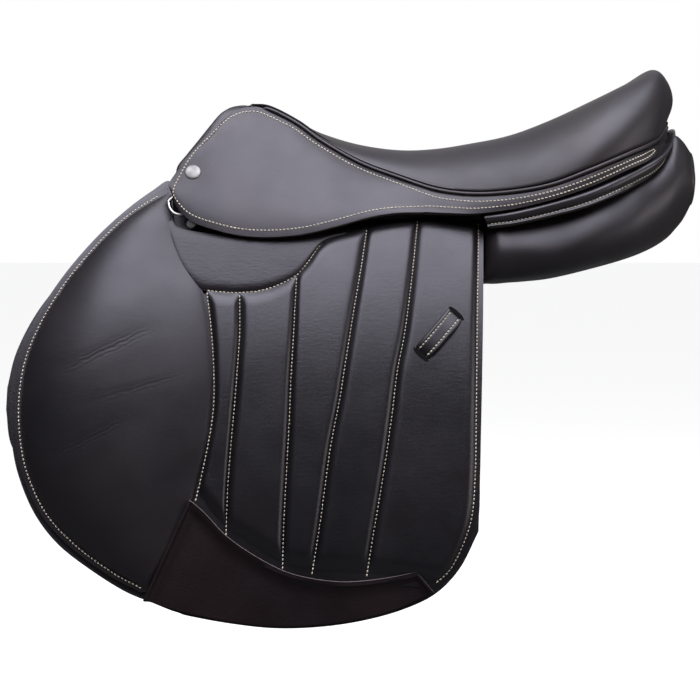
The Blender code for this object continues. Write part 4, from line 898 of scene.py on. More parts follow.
def spindles(centres, along, up):
    """Sewn stitches: each a short bead of thread whose two ends dive into the leather. Five rings of
    six points lie along its length, the thickest and highest in the middle."""
    places, thick, lift = (size * share for size, share in zip(
        (0.5 * STITCH_LENGTH, STITCH_RADIUS, STITCH_RADIUS), np.array(STITCH_RINGS).T))
    beside = np.cross(up, along)
    along = math.cos(STITCH_SLANT) * along + math.sin(STITCH_SLANT) * beside
    beside = np.cross(up, along)
    turn = np.arange(6) * math.pi / 3
    spot = centres[:, None, None] + places[:, None, None] * along[:, None, None]
    rise = lift[:, None] + thick[:, None] * np.sin(turn)
    spread = thick[:, None] * np.cos(turn)
    points = spot + rise[..., None] * up[:, None, None] + spread[..., None] * beside[:, None, None]
    ring, following = np.arange(6), np.roll(np.arange(6), -1)
    rows = 6 * np.arange(4)[:, None]
    bands = np.stack([rows + ring, rows + following, rows + 6 + following, rows + 6 + ring], -1)
    caps = np.array([(3, 2, 1, 0), (5, 4, 3, 0), (24, 25, 26, 27), (24, 27, 28, 29)])
    one = np.concatenate([bands.reshape(-1, 4), caps])
    faces = one[None] + 30 * np.arange(len(centres))[:, None, None]
    return points.reshape(-1, 3), faces.reshape(-1, 4)


def stitch_spots(line, up):
    """Where the stitches of one row go: middles at the pitch along the line, its direction and the
    leather's normal there."""
    run = run_of(line)
    count = max(2, int(run[-1] / STITCH_PITCH))
    at = (np.arange(count) + 0.5) * run[-1] / count
    middles, normal, ahead = (np.stack([np.interp(at, run, values[:, k]) for k in range(3)], axis=1)
                              for values in (line, up, np.gradient(line, axis=0)))
    ahead /= np.linalg.norm(ahead, axis=1, keepdims=True)
    normal -= ahead * (normal * ahead).sum(axis=1, keepdims=True)
    return middles, ahead, normal / np.linalg.norm(normal, axis=1, keepdims=True)


def thread_finish():
    """Waxed linen thread, cream, soiled darker in places, with a fine twist."""
    finish, tree, shader = finish_tree("cream_thread", 0.6, specular=0.3)
    tone = clouds(tree, placed(tree), 260.0, 2.0)
    tree.links.new(blend_colours(tree, tone, (0.68, 0.63, 0.51), (0.50, 0.45, 0.35)),
                   shader.inputs["Base Color"])
    bumped(tree, shader, [(clouds(tree, placed(tree), 2400.0, 1.0), 1.0)], 0.00005)
    return finish


cream_thread = thread_finish()


def sew(name, spots, side, body):
    """One object of stitches on one side, from the spots of several rows."""
    middles, ahead, normal = (np.concatenate(part) for part in zip(*spots))
    points, faces = spindles(middles, ahead, normal)
    made = solid(name, points * (1.0, side, 1.0), faces, [cream_thread])
    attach(made, body)
    return made


def flap_normals(line):
    """The flap's outward normals at points of a line: (0, 1, slope of the side curve)."""
    slope = SIDE_SPREAD / (SIDE_BEND + SIDE_TOP_LEVEL - line[:, 2])
    normal = np.stack([np.zeros(len(line)), np.ones(len(line)), slope], axis=1)
    return normal / np.linalg.norm(normal, axis=1, keepdims=True)


def flap_row(xz, offset):
    """Stitch spots of a row drawn in the side view at a level over the flap's inner face."""
    line = on_side(np.asarray(xz), offset)
    return stitch_spots(line, flap_normals(line))


# The quilt's leather has half the base colour of the recess leather, though it is the same soft leather:
# painted shade, darker for the flap's lower part, where less light falls.
quilt_leather_painted_shade = leather("quilt_leather_painted_shade", (0.0040, 0.0036, 0.0046), (0.0080, 0.0066, 0.0072), 0.33,
                        1000.0, 0.00008, 0.42, 0.55)
quilt_xz, quilt_gap = quilt_plan()
down_seam = np.linspace(0.0, 1.0, QUILT_ROWS)
seam_length = np.linalg.norm(quilt_xz[:, -1] - quilt_xz[:, 0], axis=1)[:, None]
from_top, from_foot = down_seam * seam_length, (1.0 - down_seam) * seam_length
puff = (softly(quilt_gap / SHOULDER) * softly(from_top / END_SHOULDER)
        * softly((from_foot - FOOT_FLAT) / FOOT_SHOULDER))
seam_level = COVER_BASE + SEAM_THICK
crown_level = seam_level + CHANNEL_CROWN
seam_columns = [CHANNEL_COLUMNS * k for k in range(len(QUILT_SEAMS))]
quilt_rows = [flap_row(quilt_xz[column, 1:-2], seam_level) for column in seam_columns]
quilt_rows.append(flap_row(quilt_xz[:2 * CHANNEL_COLUMNS + CREST_END, 0], seam_level))
for side, tag in SIDES:
    quilt = layer("quilted_cover_" + tag, quilt_xz, COVER_BASE, seam_level + CHANNEL_CROWN * puff, side,
                  quilt_leather_painted_shade, cut_edge, soft=0.0009)
    fit(quilt, "flap_" + tag, "dark_leather", "flap_quilt_" + tag)
    sew("stitches_quilt_" + tag, quilt_rows, side, "flap_" + tag)


# Recess: the same soft leather runs on above the quilt's crest seam, unpadded and finely wrinkled, and
# is glued down up to the head of the flap, between the knee roll and the first deep channel
RECESS_TOP = mm([
    (-208, 66), (-203, 60), (-190, 56.5), (-172, 54), (-150, 53), (-131, 52.8), (-112, 52.6),
    (-91, 52.8), (-68, 55), (-48, 57.5),
])
RECESS_FOOT = mm([
    (-216, 62), (-211, 48), (-200, 25), (-189, 11), (-178, 4.5), (-160, 2.5), (-145, 2), (-120, 5.5),
    (-95, 17), (-75, 43), (-56, 51),
])
RECESS_ROWS, RECESS_COLUMNS = 140, 36
RECESS_FULL, RECESS_SHOULDER = 0.0030, 0.012
# Beside the roll the leather keeps half its height down to the foot. Where this ends, along the recess
BESIDE_ROLL, FULL_BESIDE_ROLL = (0.15, 0.40), 0.5
TOP_SHOULDER, FULL_AT_TOP = 0.010, 0.35
recess_leather = leather("recess_leather", (0.0080, 0.0072, 0.0088), (0.0150, 0.0120, 0.0130), 0.38, 900.0,
                         0.00010, 0.30, 1.2)
recess_xz = ruled(through(RECESS_TOP, RECESS_ROWS), through(RECESS_FOOT, RECESS_ROWS), RECESS_COLUMNS)
from_foot = np.linalg.norm(recess_xz - recess_xz[:, -1:], axis=2)
from_top = np.linalg.norm(recess_xz - recess_xz[:, :1], axis=2)
beside_roll = np.interp(np.linspace(0.0, 1.0, RECESS_ROWS), BESIDE_ROLL, (1.0, 0.0))[:, None]
recess_full = np.maximum(softly(from_foot / RECESS_SHOULDER), FULL_BESIDE_ROLL * beside_roll)
recess_full *= FULL_AT_TOP + (1.0 - FULL_AT_TOP) * softly(from_top / TOP_SHOULDER)
recess_high = seam_level + RECESS_FULL * recess_full
for side, tag in SIDES:
    recess = layer("recess_leather_" + tag, recess_xz, COVER_BASE, recess_high, side, recess_leather,
                   cut_edge, soft=0.0007)
    fit(recess, "flap_" + tag, "dark_leather")


# Knee roll: a shaped block of foam in its own leather, glued and sewn to the flap along its front and
# drawn down to a crease behind
ROLL_FRONT = [
    (-216, 97), (-257, 66.5), (-293.5, 24), (-316.5, -13), (-332, -50), (-337, -84), (-335, -118),
    (-327, -151), (-309, -185), (-282, -212), (-250, -234), (-224, -247),
]
ROLL_REAR = [
    (-211, 88), (-207, 60), (-194, 31), (-178, 4), (-170, -30), (-167, -64), (-168, -98), (-171, -126),
    (-178, -154), (-184, -177), (-198, -212), (-217, -246),
]
ROLL_SHARE = [0.0, 0.42, 0.75, 0.95, 1.0, 1.0, 0.95, 0.88, 0.76, 0.6, 0.42, 0.0]
ROLL_EDGE, ROLL_HEIGHT = 0.0024, 0.021
# Across the roll, at a share t behind its margin, the height goes with sin(pi t^0.85)^0.8
ROLL_LEAN, ROLL_BLUNT = 0.85, 0.8
ROLL_MARGIN, ROLL_INSET, INSET_LIMIT = 0.0065, 0.0042, 0.45
ROLL_ROWS, ROLL_COLUMNS = 180, 80
DENTED_ABOVE = 0.2
FOLD_PITCH, FOLD_WANDER, FOLD_WEIGHT, FOLD_REACH, FOLD_WHOLE = 85.0, 5.0, 1.7, 1.2, 0.25
# Each dent's two ends in the side view, its depth and its half-width; the folds lie along them too
DENTS = [
    ((-306, -69), (-210, -23), 0.0004, 0.0060),
    ((-285, -93), (-176, -62), 0.0002, 0.0040),
    ((-311, -140), (-228, -99), 0.0003, 0.0050),
]


def dented(xz):
    """Soft dents along straight lines of the side view: a bell across, fading towards both ends."""
    total = np.zeros(xz.shape[:-1])
    for start, end, deep, wide in DENTS:
        start, end = mm(start), mm(end)
        run = end - start
        share = ((xz - start) @ run) / (run @ run)
        away = ((xz - start) @ np.array((-run[1], run[0]))) / np.linalg.norm(run)
        along = np.clip(4 * share * (1 - share), 0.0, 1.0)
        total += deep * along * np.exp(-(away / wide) ** 2)
    return total


def creased_leather():
    """The knee roll's leather: as the rest, with bundles of fine folds across the widest part, where it
    is pressed in use. Each bundle is a few narrow waves, faded at its sides and ends."""
    finish = leather("knee_roll_leather", (0.0080, 0.0072, 0.0088), (0.0150, 0.0120, 0.0130), specular=0.36)
    tree = finish.node_tree
    bump = next(made for made in tree.nodes if made.bl_idname == "ShaderNodeBump")
    height = bump.inputs["Height"].links[0].from_socket
    for start, end, deep, wide in DENTS:
        middle = 0.5 * (mm(start) + mm(end))
        slope = math.atan2(end[1] - start[1], end[0] - start[0])
        length = 0.5 * math.hypot(end[0] - start[0], end[1] - start[1]) * MM
        where = node(tree, "TexCoord")
        shift = node(tree, "VectorMath", operation="SUBTRACT")
        shift.inputs[1].default_value = (middle[0], 0.0, middle[1])
        tree.links.new(where.outputs["Object"], shift.inputs[0])
        turn = node(tree, "VectorRotate", rotation_type="Y_AXIS")
        turn.inputs["Angle"].default_value = slope
        tree.links.new(shift.outputs[0], turn.inputs["Vector"])
        parts = node(tree, "SeparateXYZ")
        tree.links.new(turn.outputs[0], parts.inputs[0])
        wave = node(tree, "TexWave", bands_direction="Z", Scale=FOLD_PITCH, Distortion=FOLD_WANDER,
                    Detail=3.0)
        wave.inputs["Detail Scale"].default_value = 1.0
        tree.links.new(turn.outputs[0], wave.inputs["Vector"])
        fades = []
        for axis, reach in (("X", length), ("Z", FOLD_REACH * wide)):
            size = node(tree, "Math", operation="ABSOLUTE")
            tree.links.new(parts.outputs[axis], size.inputs[0])
            fade = node(tree, "MapRange", interpolation_type="SMOOTHSTEP", From_Min=FOLD_WHOLE * reach,
                        From_Max=reach, To_Min=1.0, To_Max=0.0)
            tree.links.new(size.outputs[0], fade.inputs["Value"])
            fades.append(fade.outputs[0])
        window = node(tree, "Math", operation="MULTIPLY")
        tree.links.new(fades[0], window.inputs[0])
        tree.links.new(fades[1], window.inputs[1])
        folds = node(tree, "Math", operation="MULTIPLY")
        tree.links.new(window.outputs[0], folds.inputs[0])
        tree.links.new(wave.outputs["Fac"], folds.inputs[1])
        total = node(tree, "Math", operation="MULTIPLY_ADD")
        total.inputs[1].default_value = FOLD_WEIGHT * deep / DENTS[0][2]
        tree.links.new(folds.outputs[0], total.inputs[0])
        tree.links.new(height, total.inputs[2])
        height = total.outputs[0]
    tree.links.new(height, bump.inputs["Height"])
    return finish


roll_leather = creased_leather()
front_line = through(mm(ROLL_FRONT), ROLL_ROWS)
rear_line = through(mm(ROLL_REAR), ROLL_ROWS)
roll_xz = ruled(front_line, rear_line, ROLL_COLUMNS)
roll_width = np.linalg.norm(rear_line - front_line, axis=1)[:, None]
across = np.linspace(0.0, 1.0, ROLL_COLUMNS) * roll_width
beyond = np.clip((across - ROLL_MARGIN) / np.maximum(roll_width - ROLL_MARGIN, 1e-4), 0.0, 1.0)
fullness = np.clip(through(np.array(ROLL_SHARE)[:, None], ROLL_ROWS), 0.0, 1.0)
swell = np.sin(math.pi * beyond ** ROLL_LEAN) ** ROLL_BLUNT
roll_high = COVER_BASE + ROLL_EDGE + ROLL_HEIGHT * fullness * swell
roll_high -= dented(roll_xz) * (swell > DENTED_ABOVE)
inset = np.clip(ROLL_INSET / roll_width, 0.0, INSET_LIMIT)
roll_row = flap_row((front_line * (1 - inset) + rear_line * inset)[4:-2], COVER_BASE + ROLL_EDGE)
for side, tag in SIDES:
    roll = layer("knee_roll_cushion_" + tag, roll_xz, COVER_BASE, roll_high, side, roll_leather, cut_edge)
    fit(roll, "flap_" + tag, "dark_leather", "knee_roll_" + tag)
    sew("stitches_knee_roll_" + tag, [roll_row], side, "flap_" + tag)


# Wear patch: a separate strip of smooth reddish leather glued round the hem, where the stirrup rubs.
# Its upper edge laps over the foot of the quilt and its front edge over the knee roll.
PATCH_TOP = [
    (-184, -171), (-170, -183), (-152, -201), (-128, -217), (-104, -229), (-82, -235), (-56, -238),
    (-34, -237), (-12, -234), (8, -230), (22, -246),
]
PATCH_HEM = [
    (-221.5, -253), (-196, -261), (-170, -267), (-140, -272), (-112, -274.5), (-84, -274), (-56, -271.5),
    (-32, -267), (-10, -261), (8, -253.5), (23, -247.5),
]
PATCH_LEATHER = 0.0022
PATCH_ROWS, PATCH_COLUMNS, PATCH_END_ROWS = 130, 30, 12
# Height of each lap, its width, and the share of that width which lies flat at the edge
OVER_QUILT = (0.0036, 0.012, 0.3)
OVER_ROLL = (0.0060, 0.011, 0.2)
patch_leather = leather("patch_leather", (0.0050, 0.0022, 0.0028), (0.0110, 0.0050, 0.0054), 0.44, 520.0,
                        0.00016, 0.26, 0.25)
patch_edge = leather("patch_edge", (0.13, 0.105, 0.108), (0.19, 0.16, 0.16), 0.5, 600.0, 0.0001)


def lapped(distance, high, wide, flat):
    """Height of a lap at a distance from its edge: a quarter circle down, after a flat share."""
    return high * (1.0 - rounded(distance / wide - flat))


patch_top, patch_hem = (evenly(through(mm(line[:-1]), LINE_FINE), PATCH_ROWS)
                        for line in (PATCH_TOP, PATCH_HEM))
patch_end = ruled(mm(PATCH_TOP[-2:]), mm(PATCH_HEM[-2:]), PATCH_COLUMNS)
patch_end = through(patch_end, PATCH_END_ROWS)[1:]
patch_xz = np.concatenate([ruled(patch_top, patch_hem, PATCH_COLUMNS), patch_end])
from_top = np.linalg.norm(patch_xz - patch_xz[:, :1], axis=2)
from_front = np.linalg.norm(patch_xz - patch_xz[:1], axis=2)
patch_low = COVER_BASE + np.maximum(lapped(from_top, *OVER_QUILT), lapped(from_front, *OVER_ROLL))
for side, tag in SIDES:
    patch = layer("wear_patch_" + tag, patch_xz, patch_low, patch_low + PATCH_LEATHER, side, patch_leather,
                  patch_edge, soft=0.0009)
    fit(patch, "flap_" + tag, "wear_leather", "flap_patch_" + tag)


# Strap keeper: a padded strip let into two slots of the flap, with two rows of stitches, that holds
# the end of the stirrup leather
KEEPER_CENTRE = mm((29, -33))
KEEPER_LENGTH, KEEPER_WIDTH = 0.047, 0.0165
KEEPER_SLOPE = math.radians(48)
KEEPER_RISE, KEEPER_FULL, KEEPER_SUNK, KEEPER_STEPS = 0.0048, 0.0016, 0.0012, 60
SIDES_ROUND = 5.5
# Powers of the arch outside and inside, the strip's least thickness, and its inner face's depth
# below the arch
ARCH_OUTSIDE, ARCH_INSIDE, STRIP_THIN, STRIP_THICK = 3.6, 5, 0.0016, 0.0035
# Each as a share of the width out from the middle, a spread and a height
KEEPER_RIDGE, KEEPER_GROOVE = (0.40, 0.10, 0.0006), (0.27, 0.035, -0.0005)
KEEPER_ROW, ROW_SUNK = 0.44, 0.0010
SLOT_LENGTH, SLOT_WIDTH, SLOT_STEPS = 0.0172, 0.0046, 13
SLOT_LOW, SLOT_HIGH = -0.0008, 0.00015
keeper_leather = leather("keeper_leather", (0.004, 0.0036, 0.0045), (0.009, 0.008, 0.009), 0.36, 1000.0,
                         0.00004, 0.36)
# Slot mouths: thin near-black matt sheets laid on the flap at the strip's two ends, painted shadow where the
# strip dives into its slots.
slot_shadow = leather("slot_painted_shadow", (0.002, 0.002, 0.002), (0.004, 0.003, 0.003), 0.8, 900.0, 0.00005, 0.1)
keeper_along = np.array((math.cos(KEEPER_SLOPE), math.sin(KEEPER_SLOPE)))
keeper_over = np.array((-keeper_along[1], keeper_along[0]))


def keeper_place(a, b):
    """A side-view point at a distance a along the strip's slope and b over it, from its middle."""
    return KEEPER_CENTRE + a[..., None] * keeper_along + b[..., None] * keeper_over


def bell(place, middle, spread, height):
    """A bell curve: the height times e to minus the square of the distance over the spread."""
    return height * np.exp(-((place - middle) / spread) ** 2)


def keeper_level(a, b):
    """Level of the strip's outer face, at shares of its length and width: it arches out of one slot and
    into the other, its long sides are rounded down, and padded ridges lie outside the stitch rows."""
    arch = KEEPER_RISE * (1.0 - np.abs(2 * a) ** ARCH_OUTSIDE)
    sides = rounded((0.5 - np.abs(b)) * SIDES_ROUND)
    relief = bell(np.abs(b), *KEEPER_RIDGE) + bell(np.abs(b), *KEEPER_GROOVE)
    return crown_level + arch + KEEPER_FULL * (sides - 1.0) + relief


def square(reach, steps):
    """Two grids of numbers from minus to plus a reach, one for each direction."""
    return np.meshgrid(np.linspace(-reach, reach, steps), np.linspace(-reach, reach, steps), indexing="ij")


a, b = square(0.5, KEEPER_STEPS)
strip_xz = keeper_place(KEEPER_LENGTH * a, KEEPER_WIDTH * b)
strip_high = keeper_level(a, b) - KEEPER_SUNK
strip_arch = crown_level + KEEPER_RISE * (1.0 - np.abs(2 * a) ** ARCH_INSIDE)
strip_low = np.minimum(strip_high - STRIP_THIN, strip_arch - STRIP_THICK)
keeper_rows = []
for over in (-KEEPER_GROOVE[0], KEEPER_GROOVE[0]):
    run, beside = np.linspace(-KEEPER_ROW, KEEPER_ROW, KEEPER_STEPS), np.full(KEEPER_STEPS, over)
    row_xz = keeper_place(KEEPER_LENGTH * run, KEEPER_WIDTH * beside)
    line = on_side(row_xz, keeper_level(run, beside) - ROW_SUNK)
    keeper_rows.append(stitch_spots(line, flap_normals(line)))
u, v = square(1.0, SLOT_STEPS)
slot_a = 0.5 * SLOT_WIDTH * u * np.sqrt(1 - 0.5 * v ** 2)
slot_b = 0.5 * SLOT_LENGTH * v * np.sqrt(1 - 0.5 * u ** 2)
for side, tag in SIDES:
    keeper = layer("keeper_strip_" + tag, strip_xz, strip_low, strip_high, side, keeper_leather, soft=0.0005)
    fit(keeper, "flap_" + tag, "strap_leather", "strap_keeper_" + tag)
    sew("stitches_keeper_" + tag, keeper_rows, side, "flap_" + tag)
    for end, end_name in ((-0.5, "low"), (0.5, "high")):
        slot_xz = keeper_place(slot_a + end * KEEPER_LENGTH, slot_b)
        mouth = layer("keeper_slot_shadow_%s_%s" % (end_name, tag), slot_xz, crown_level + SLOT_LOW,
                      crown_level + SLOT_HIGH, side, slot_shadow, soft=0)
        fit(mouth, "flap_" + tag, "strap_leather")


# Skirts: 4 mm leather nailed under the welt. Forward of the tail each one ends in a lip that lifts on
# the hinge line to reach the stirrup bar; one curve runs through both, so no joint shows.
SKIRT_FRONT = mm([
    (-187.3, 65, 131), (-180, 59, 139.4), (-173.3, 53, 147.5), (-167.9, 48, 154.7), (-163.6, 44, 159.8),
    (-159.2, 40, 164), (-154.8, 36.5, 167.5), (-145.8, 31, 171.1), (-134.3, 28.5, 171.9),
    (-124.5, 30, 168.5), (-110, 33.5, 161.5), (-97, 36.4, 154.3), (-74, 44.4, 137.6), (-39, 58.3, 117.3),
    (-3, 74.4, 103), (22, 88, 94),
])
SKIRT_HINGE_X = mm([
    -212, -205, -198, -191, -185, -178, -171, -162, -151, -140, -125, -112, -88, -52, -10, 18,
])
TAIL_TOP = mm([
    (22, 88, 94), (34, 94, 90.6), (64, 107, 86.8), (98, 119, 88.5), (130, 128, 94.5), (163, 129, 106.5),
    (199, 116, 121.5), (222, 96, 131.5), (229, 88, 133.5),
])
SKIRT_TAIL = mm([
    (38, 108.3, 72.4), (64, 114, 72), (97, 123, 76), (130, 131, 84), (163, 131, 95), (199, 119, 111),
    (216, 107, 118), (226, 96, 125), (229, 89, 131),
])
LIP_EDGE = mm([
    (-209.5, 86.5, 91), (-203, 93.5, 77), (-190, 100, 65), (-167, 106, 57), (-143, 110, 52),
    (-117, 112, 51), (-90, 112, 53.5), (-60, 110, 60.5), (-30, 106, 68.7), (-6, 104, 72.4), (18, 103.5, 72.9),
])
LIP_HINGE_X = mm([-211, -203, -190, -167, -143, -117, -90, -60, -30, -6, 18])
HINGE_FRONT = np.array((-0.213, 0.084, 0.099))
HINGE_REAR = np.array((0.075, 0.108, 0.067))
SKIRT_LEATHER = 0.0042
# Height of each swell and the drop over which it is reached in full, and the way it points. The
# directions at a column's ends carry it 5 times above and 4 times below; in the tail both become 4.
SKIRT_CROWN, LIP_BULGE = (0.004, 0.07), (0.002, 0.035)
CROWN_WAY = np.array((0.0, 0.75, 0.66))
LEAVES_BY, REACHES_BY, TAIL_RAMP = 5, 4, 3.0
HINGED_ROWS, TAIL_ROWS, SKIRT_COLUMNS, LIP_COLUMNS, FRONT_STEPS = 120, 110, 34, 22, 200
EDGE_INSET, TOP_INSET = 0.0062, 0.0072
# Shares of the tail: its height that each row keeps off the edge, and where the rows close and end
FOOT_SHARE, TOP_SHARE, MEETING_SHARE = 0.27, 0.33, 0.48
CLOSING_FROM, CLOSING_TO = 0.92, 0.97


def hinge_at(x):
    """The point of the hinge line at a distance along the saddle."""
    share = (x - HINGE_FRONT[0]) / (HINGE_REAR[0] - HINGE_FRONT[0])
    return HINGE_FRONT + share[:, None] * (HINGE_REAR - HINGE_FRONT)


def bowed(start, end, leave, arrive, columns):
    """Columns between two lines, each a cubic with given directions at its ends:
    (1+2t)(1-t)^2 start + t^2(3-2t) end + t(1-t)^2 leave - t^2(1-t) arrive."""
    t = np.linspace(0.0, 1.0, columns)[None, :, None]
    start, end, leave, arrive = (line[:, None] for line in (start, end, leave, arrive))
    return ((1 + 2 * t) * (1 - t) ** 2 * start + t * t * (3 - 2 * t) * end
            + t * (1 - t) ** 2 * leave - t * t * (1 - t) * arrive)


def length_of(line):
    """Length of each row's vector, kept as a column."""
    return np.linalg.norm(line, axis=1, keepdims=True)


hinge_x = np.linspace(SKIRT_HINGE_X[0], SKIRT_HINGE_X[-1], HINGED_ROWS)
hinge_line = hinge_at(hinge_x)


def fine_curve(line):
    """A smooth curve with 40 steps from each point to the next."""
    return through(line, 40 * (len(line) - 1) + 1)


def by_hinge(places, line):
    """A smooth curve through the points, read off at every row's place on the hinge line."""
    where, curve = fine_curve(places[:, None])[:, 0], fine_curve(line)
    return np.stack([np.interp(hinge_x, where, curve[:, k]) for k in range(3)], axis=1)


front_top = by_hinge(SKIRT_HINGE_X, SKIRT_FRONT)
lip_edge = by_hinge(LIP_HINGE_X, LIP_EDGE)
tail_top = evenly(fine_curve(TAIL_TOP), TAIL_ROWS)
tail_foot = evenly(fine_curve(np.concatenate([hinge_line[-1:], SKIRT_TAIL])), TAIL_ROWS)
ahead = lip_edge - front_top
ahead /= length_of(ahead)


def swollen(drop, height, full_drop):
    """The swell of each column: less where the column drops less than the full drop."""
    return height * np.clip(length_of(drop) / full_drop, 0, 1) * CROWN_WAY


drop = hinge_line - front_top
crown = swollen(drop, *SKIRT_CROWN)
front_net = bowed(front_top, hinge_line, drop + LEAVES_BY * crown, ahead * length_of(drop), SKIRT_COLUMNS)
drop = lip_edge - hinge_line
bulge = swollen(drop, *LIP_BULGE)
lip_net = bowed(hinge_line, lip_edge, ahead * length_of(drop), drop - REACHES_BY * bulge, LIP_COLUMNS)
drop = tail_foot - tail_top
crown = swollen(drop, *SKIRT_CROWN)
ramp = np.clip(np.linspace(0.0, TAIL_RAMP, TAIL_ROWS), 0, 1)[:, None]
tail_net = bowed(tail_top, tail_foot, drop + (LEAVES_BY - ramp) * crown, drop - REACHES_BY * ramp * crown,
                 SKIRT_COLUMNS)
skirt_net = np.concatenate([front_net, tail_net[1:]])
whole_net = np.concatenate([front_net, lip_net[:, 1:]], axis=1)
outward = (0.0, 1.0, 0.5)
whole_out = facing_out(whole_net, outward)
skirt_out = facing_out(skirt_net, outward)
skirt_out[:HINGED_ROWS] = whole_out[:, :SKIRT_COLUMNS]
lip_out = whole_out[:, SKIRT_COLUMNS - 1:].copy()
# The lip's two ends are too narrow for normals of their own and take the next row's
lip_out[:3], lip_out[-3:] = lip_out[3], lip_out[-4]
skirt_out[:HINGED_ROWS, -1] = lip_out[:, 0]
# Where skirt and lip meet, and at the tail's end, the rim stays square, so that no groove shows
skirt_keep = np.zeros(skirt_net.shape[:2], bool)
skirt_keep[:HINGED_ROWS, -1] = True
skirt_keep[-1] = True
lip_keep = np.zeros(lip_net.shape[:2], bool)
lip_keep[:, 0] = True


def spot(net, rows, columns):
    """Points of a net at broken row and column numbers, by shares of the four around each."""
    rows = np.clip(rows, 0, net.shape[0] - 1.001)
    columns = np.clip(columns, 0, net.shape[1] - 1.001)
    i, k = rows.astype(int), columns.astype(int)
    s, t = (rows - i)[:, None], (columns - k)[:, None]
    return ((1 - s) * (1 - t) * net[i, k] + s * (1 - t) * net[i + 1, k]
            + (1 - s) * t * net[i, k + 1] + s * t * net[i + 1, k + 1])


def run_along(net, axis):
    """Distance run from the first line of a net along one of its directions, at every point."""
    steps = np.linalg.norm(np.diff(net, axis=axis), axis=2)
    first = np.zeros_like(np.take(net[..., 0], [0], axis=axis))
    return np.concatenate([first, np.cumsum(steps, axis=axis)], axis=axis)


def inset_columns(down, distance, from_end):
    """For every row, the broken column number at a distance from its start or its end."""
    number = np.arange(down.shape[1])
    goal = down[:, -1] - distance if from_end else np.broadcast_to(distance, (len(down),))
    return np.array([np.interp(goal[i], down[i], number) for i in range(len(down))])


def skirt_rows():
    """The stitch row round the skirt: along the welt, down the front, along the lip's edge and the
    tail's foot. The two long rows draw together towards the pointed end of the tail."""
    down_front, down_tail = run_along(whole_net, 1), run_along(tail_net, 1)
    from_front = run_along(whole_net, 0)
    every = np.arange(HINGED_ROWS, dtype=float)
    top_columns = inset_columns(down_front, TOP_INSET, False)
    foot_columns = inset_columns(down_front, EDGE_INSET, True)
    columns = np.linspace(0, whole_net.shape[1] - 1.0, FRONT_STEPS)
    ahead_rows = np.array([np.interp(EDGE_INSET, from_front[:, int(c)], every) for c in columns])
    keep_top, keep_foot = (spot(from_front[..., None], every, cols)[:, 0] > EDGE_INSET
                           for cols in (top_columns, foot_columns))
    down_here = spot(down_front[..., None], ahead_rows, columns)[:, 0]
    left_here = spot((down_front[:, -1:] - down_front)[..., None], ahead_rows, columns)[:, 0]
    keep_front = (down_here > TOP_INSET) & (left_here > EDGE_INSET)
    parts = [
        (every[keep_top][::-1], top_columns[keep_top][::-1]),
        (ahead_rows[keep_front], columns[keep_front]),
        (every[keep_foot], foot_columns[keep_foot]),
    ]
    rows, cols = (np.concatenate([part[k] for part in parts]) for k in (0, 1))
    line, normal = spot(whole_net, rows, cols), spot(whole_out, rows, cols)
    on_lip = cols > SKIRT_COLUMNS - 1
    tail = np.arange(TAIL_ROWS, dtype=float)
    tail_out = skirt_out[HINGED_ROWS - 1:]
    height = down_tail[:, -1]
    closing = np.interp(tail / (TAIL_ROWS - 1), (CLOSING_FROM, CLOSING_TO), (0.0, 1.0)) ** 2
    top_in, foot_in = (np.minimum(inset, share * height) * (1 - closing) + MEETING_SHARE * height * closing
                       for inset, share in ((TOP_INSET, TOP_SHARE), (EDGE_INSET, FOOT_SHARE)))
    upper, lower = inset_columns(down_tail, top_in, False), inset_columns(down_tail, foot_in, True)
    last = int(CLOSING_TO * TAIL_ROWS)
    upper_line, upper_out = spot(tail_net, tail, upper)[:last], spot(tail_out, tail, upper)[:last]
    lower_line, lower_out = spot(tail_net, tail, lower)[:last], spot(tail_out, tail, lower)[:last]
    line = np.concatenate([upper_line[::-1][:-1], line, lower_line[1:]])
    normal = np.concatenate([upper_out[::-1][:-1], normal, lower_out[1:]])
    on_lip = np.concatenate([np.zeros(last - 1), on_lip, np.zeros(last - 1)])
    run = run_of(line)
    spots = stitch_spots(line, normal)
    at = (np.arange(len(spots[0])) + 0.5) * run[-1] / len(spots[0])
    return spots, np.interp(at, run, on_lip) > 0.5


skirt_leather = leather("skirt_leather", (0.0125, 0.0112, 0.0136), (0.0205, 0.0165, 0.0175), 0.42)
skirt_spots, spots_on_lip = skirt_rows()
for side, tag in SIDES:
    flip = (1.0, side, 1.0)
    lip_body = "skirt_lip_" + tag
    for name, net, out, keep, body in (("skirt_", skirt_net, skirt_out, skirt_keep, "tree"),
                                       ("skirt_lip_", lip_net, lip_out, lip_keep, lip_body)):
        made = skin(name + "leather_" + tag, (net - SKIRT_LEATHER * out) * flip, net * flip, skirt_leather,
                    cut_edge, soft=0.0013, keep=keep)
        fit(made, body, "dark_leather", name + tag)
    for on_lip, body, row_name in ((False, "tree", "skirt"), (True, lip_body, "lip")):
        chosen = spots_on_lip == on_lip
        sew("stitches_%s_%s" % (row_name, tag), [tuple(part[chosen] for part in skirt_spots)], side, body)


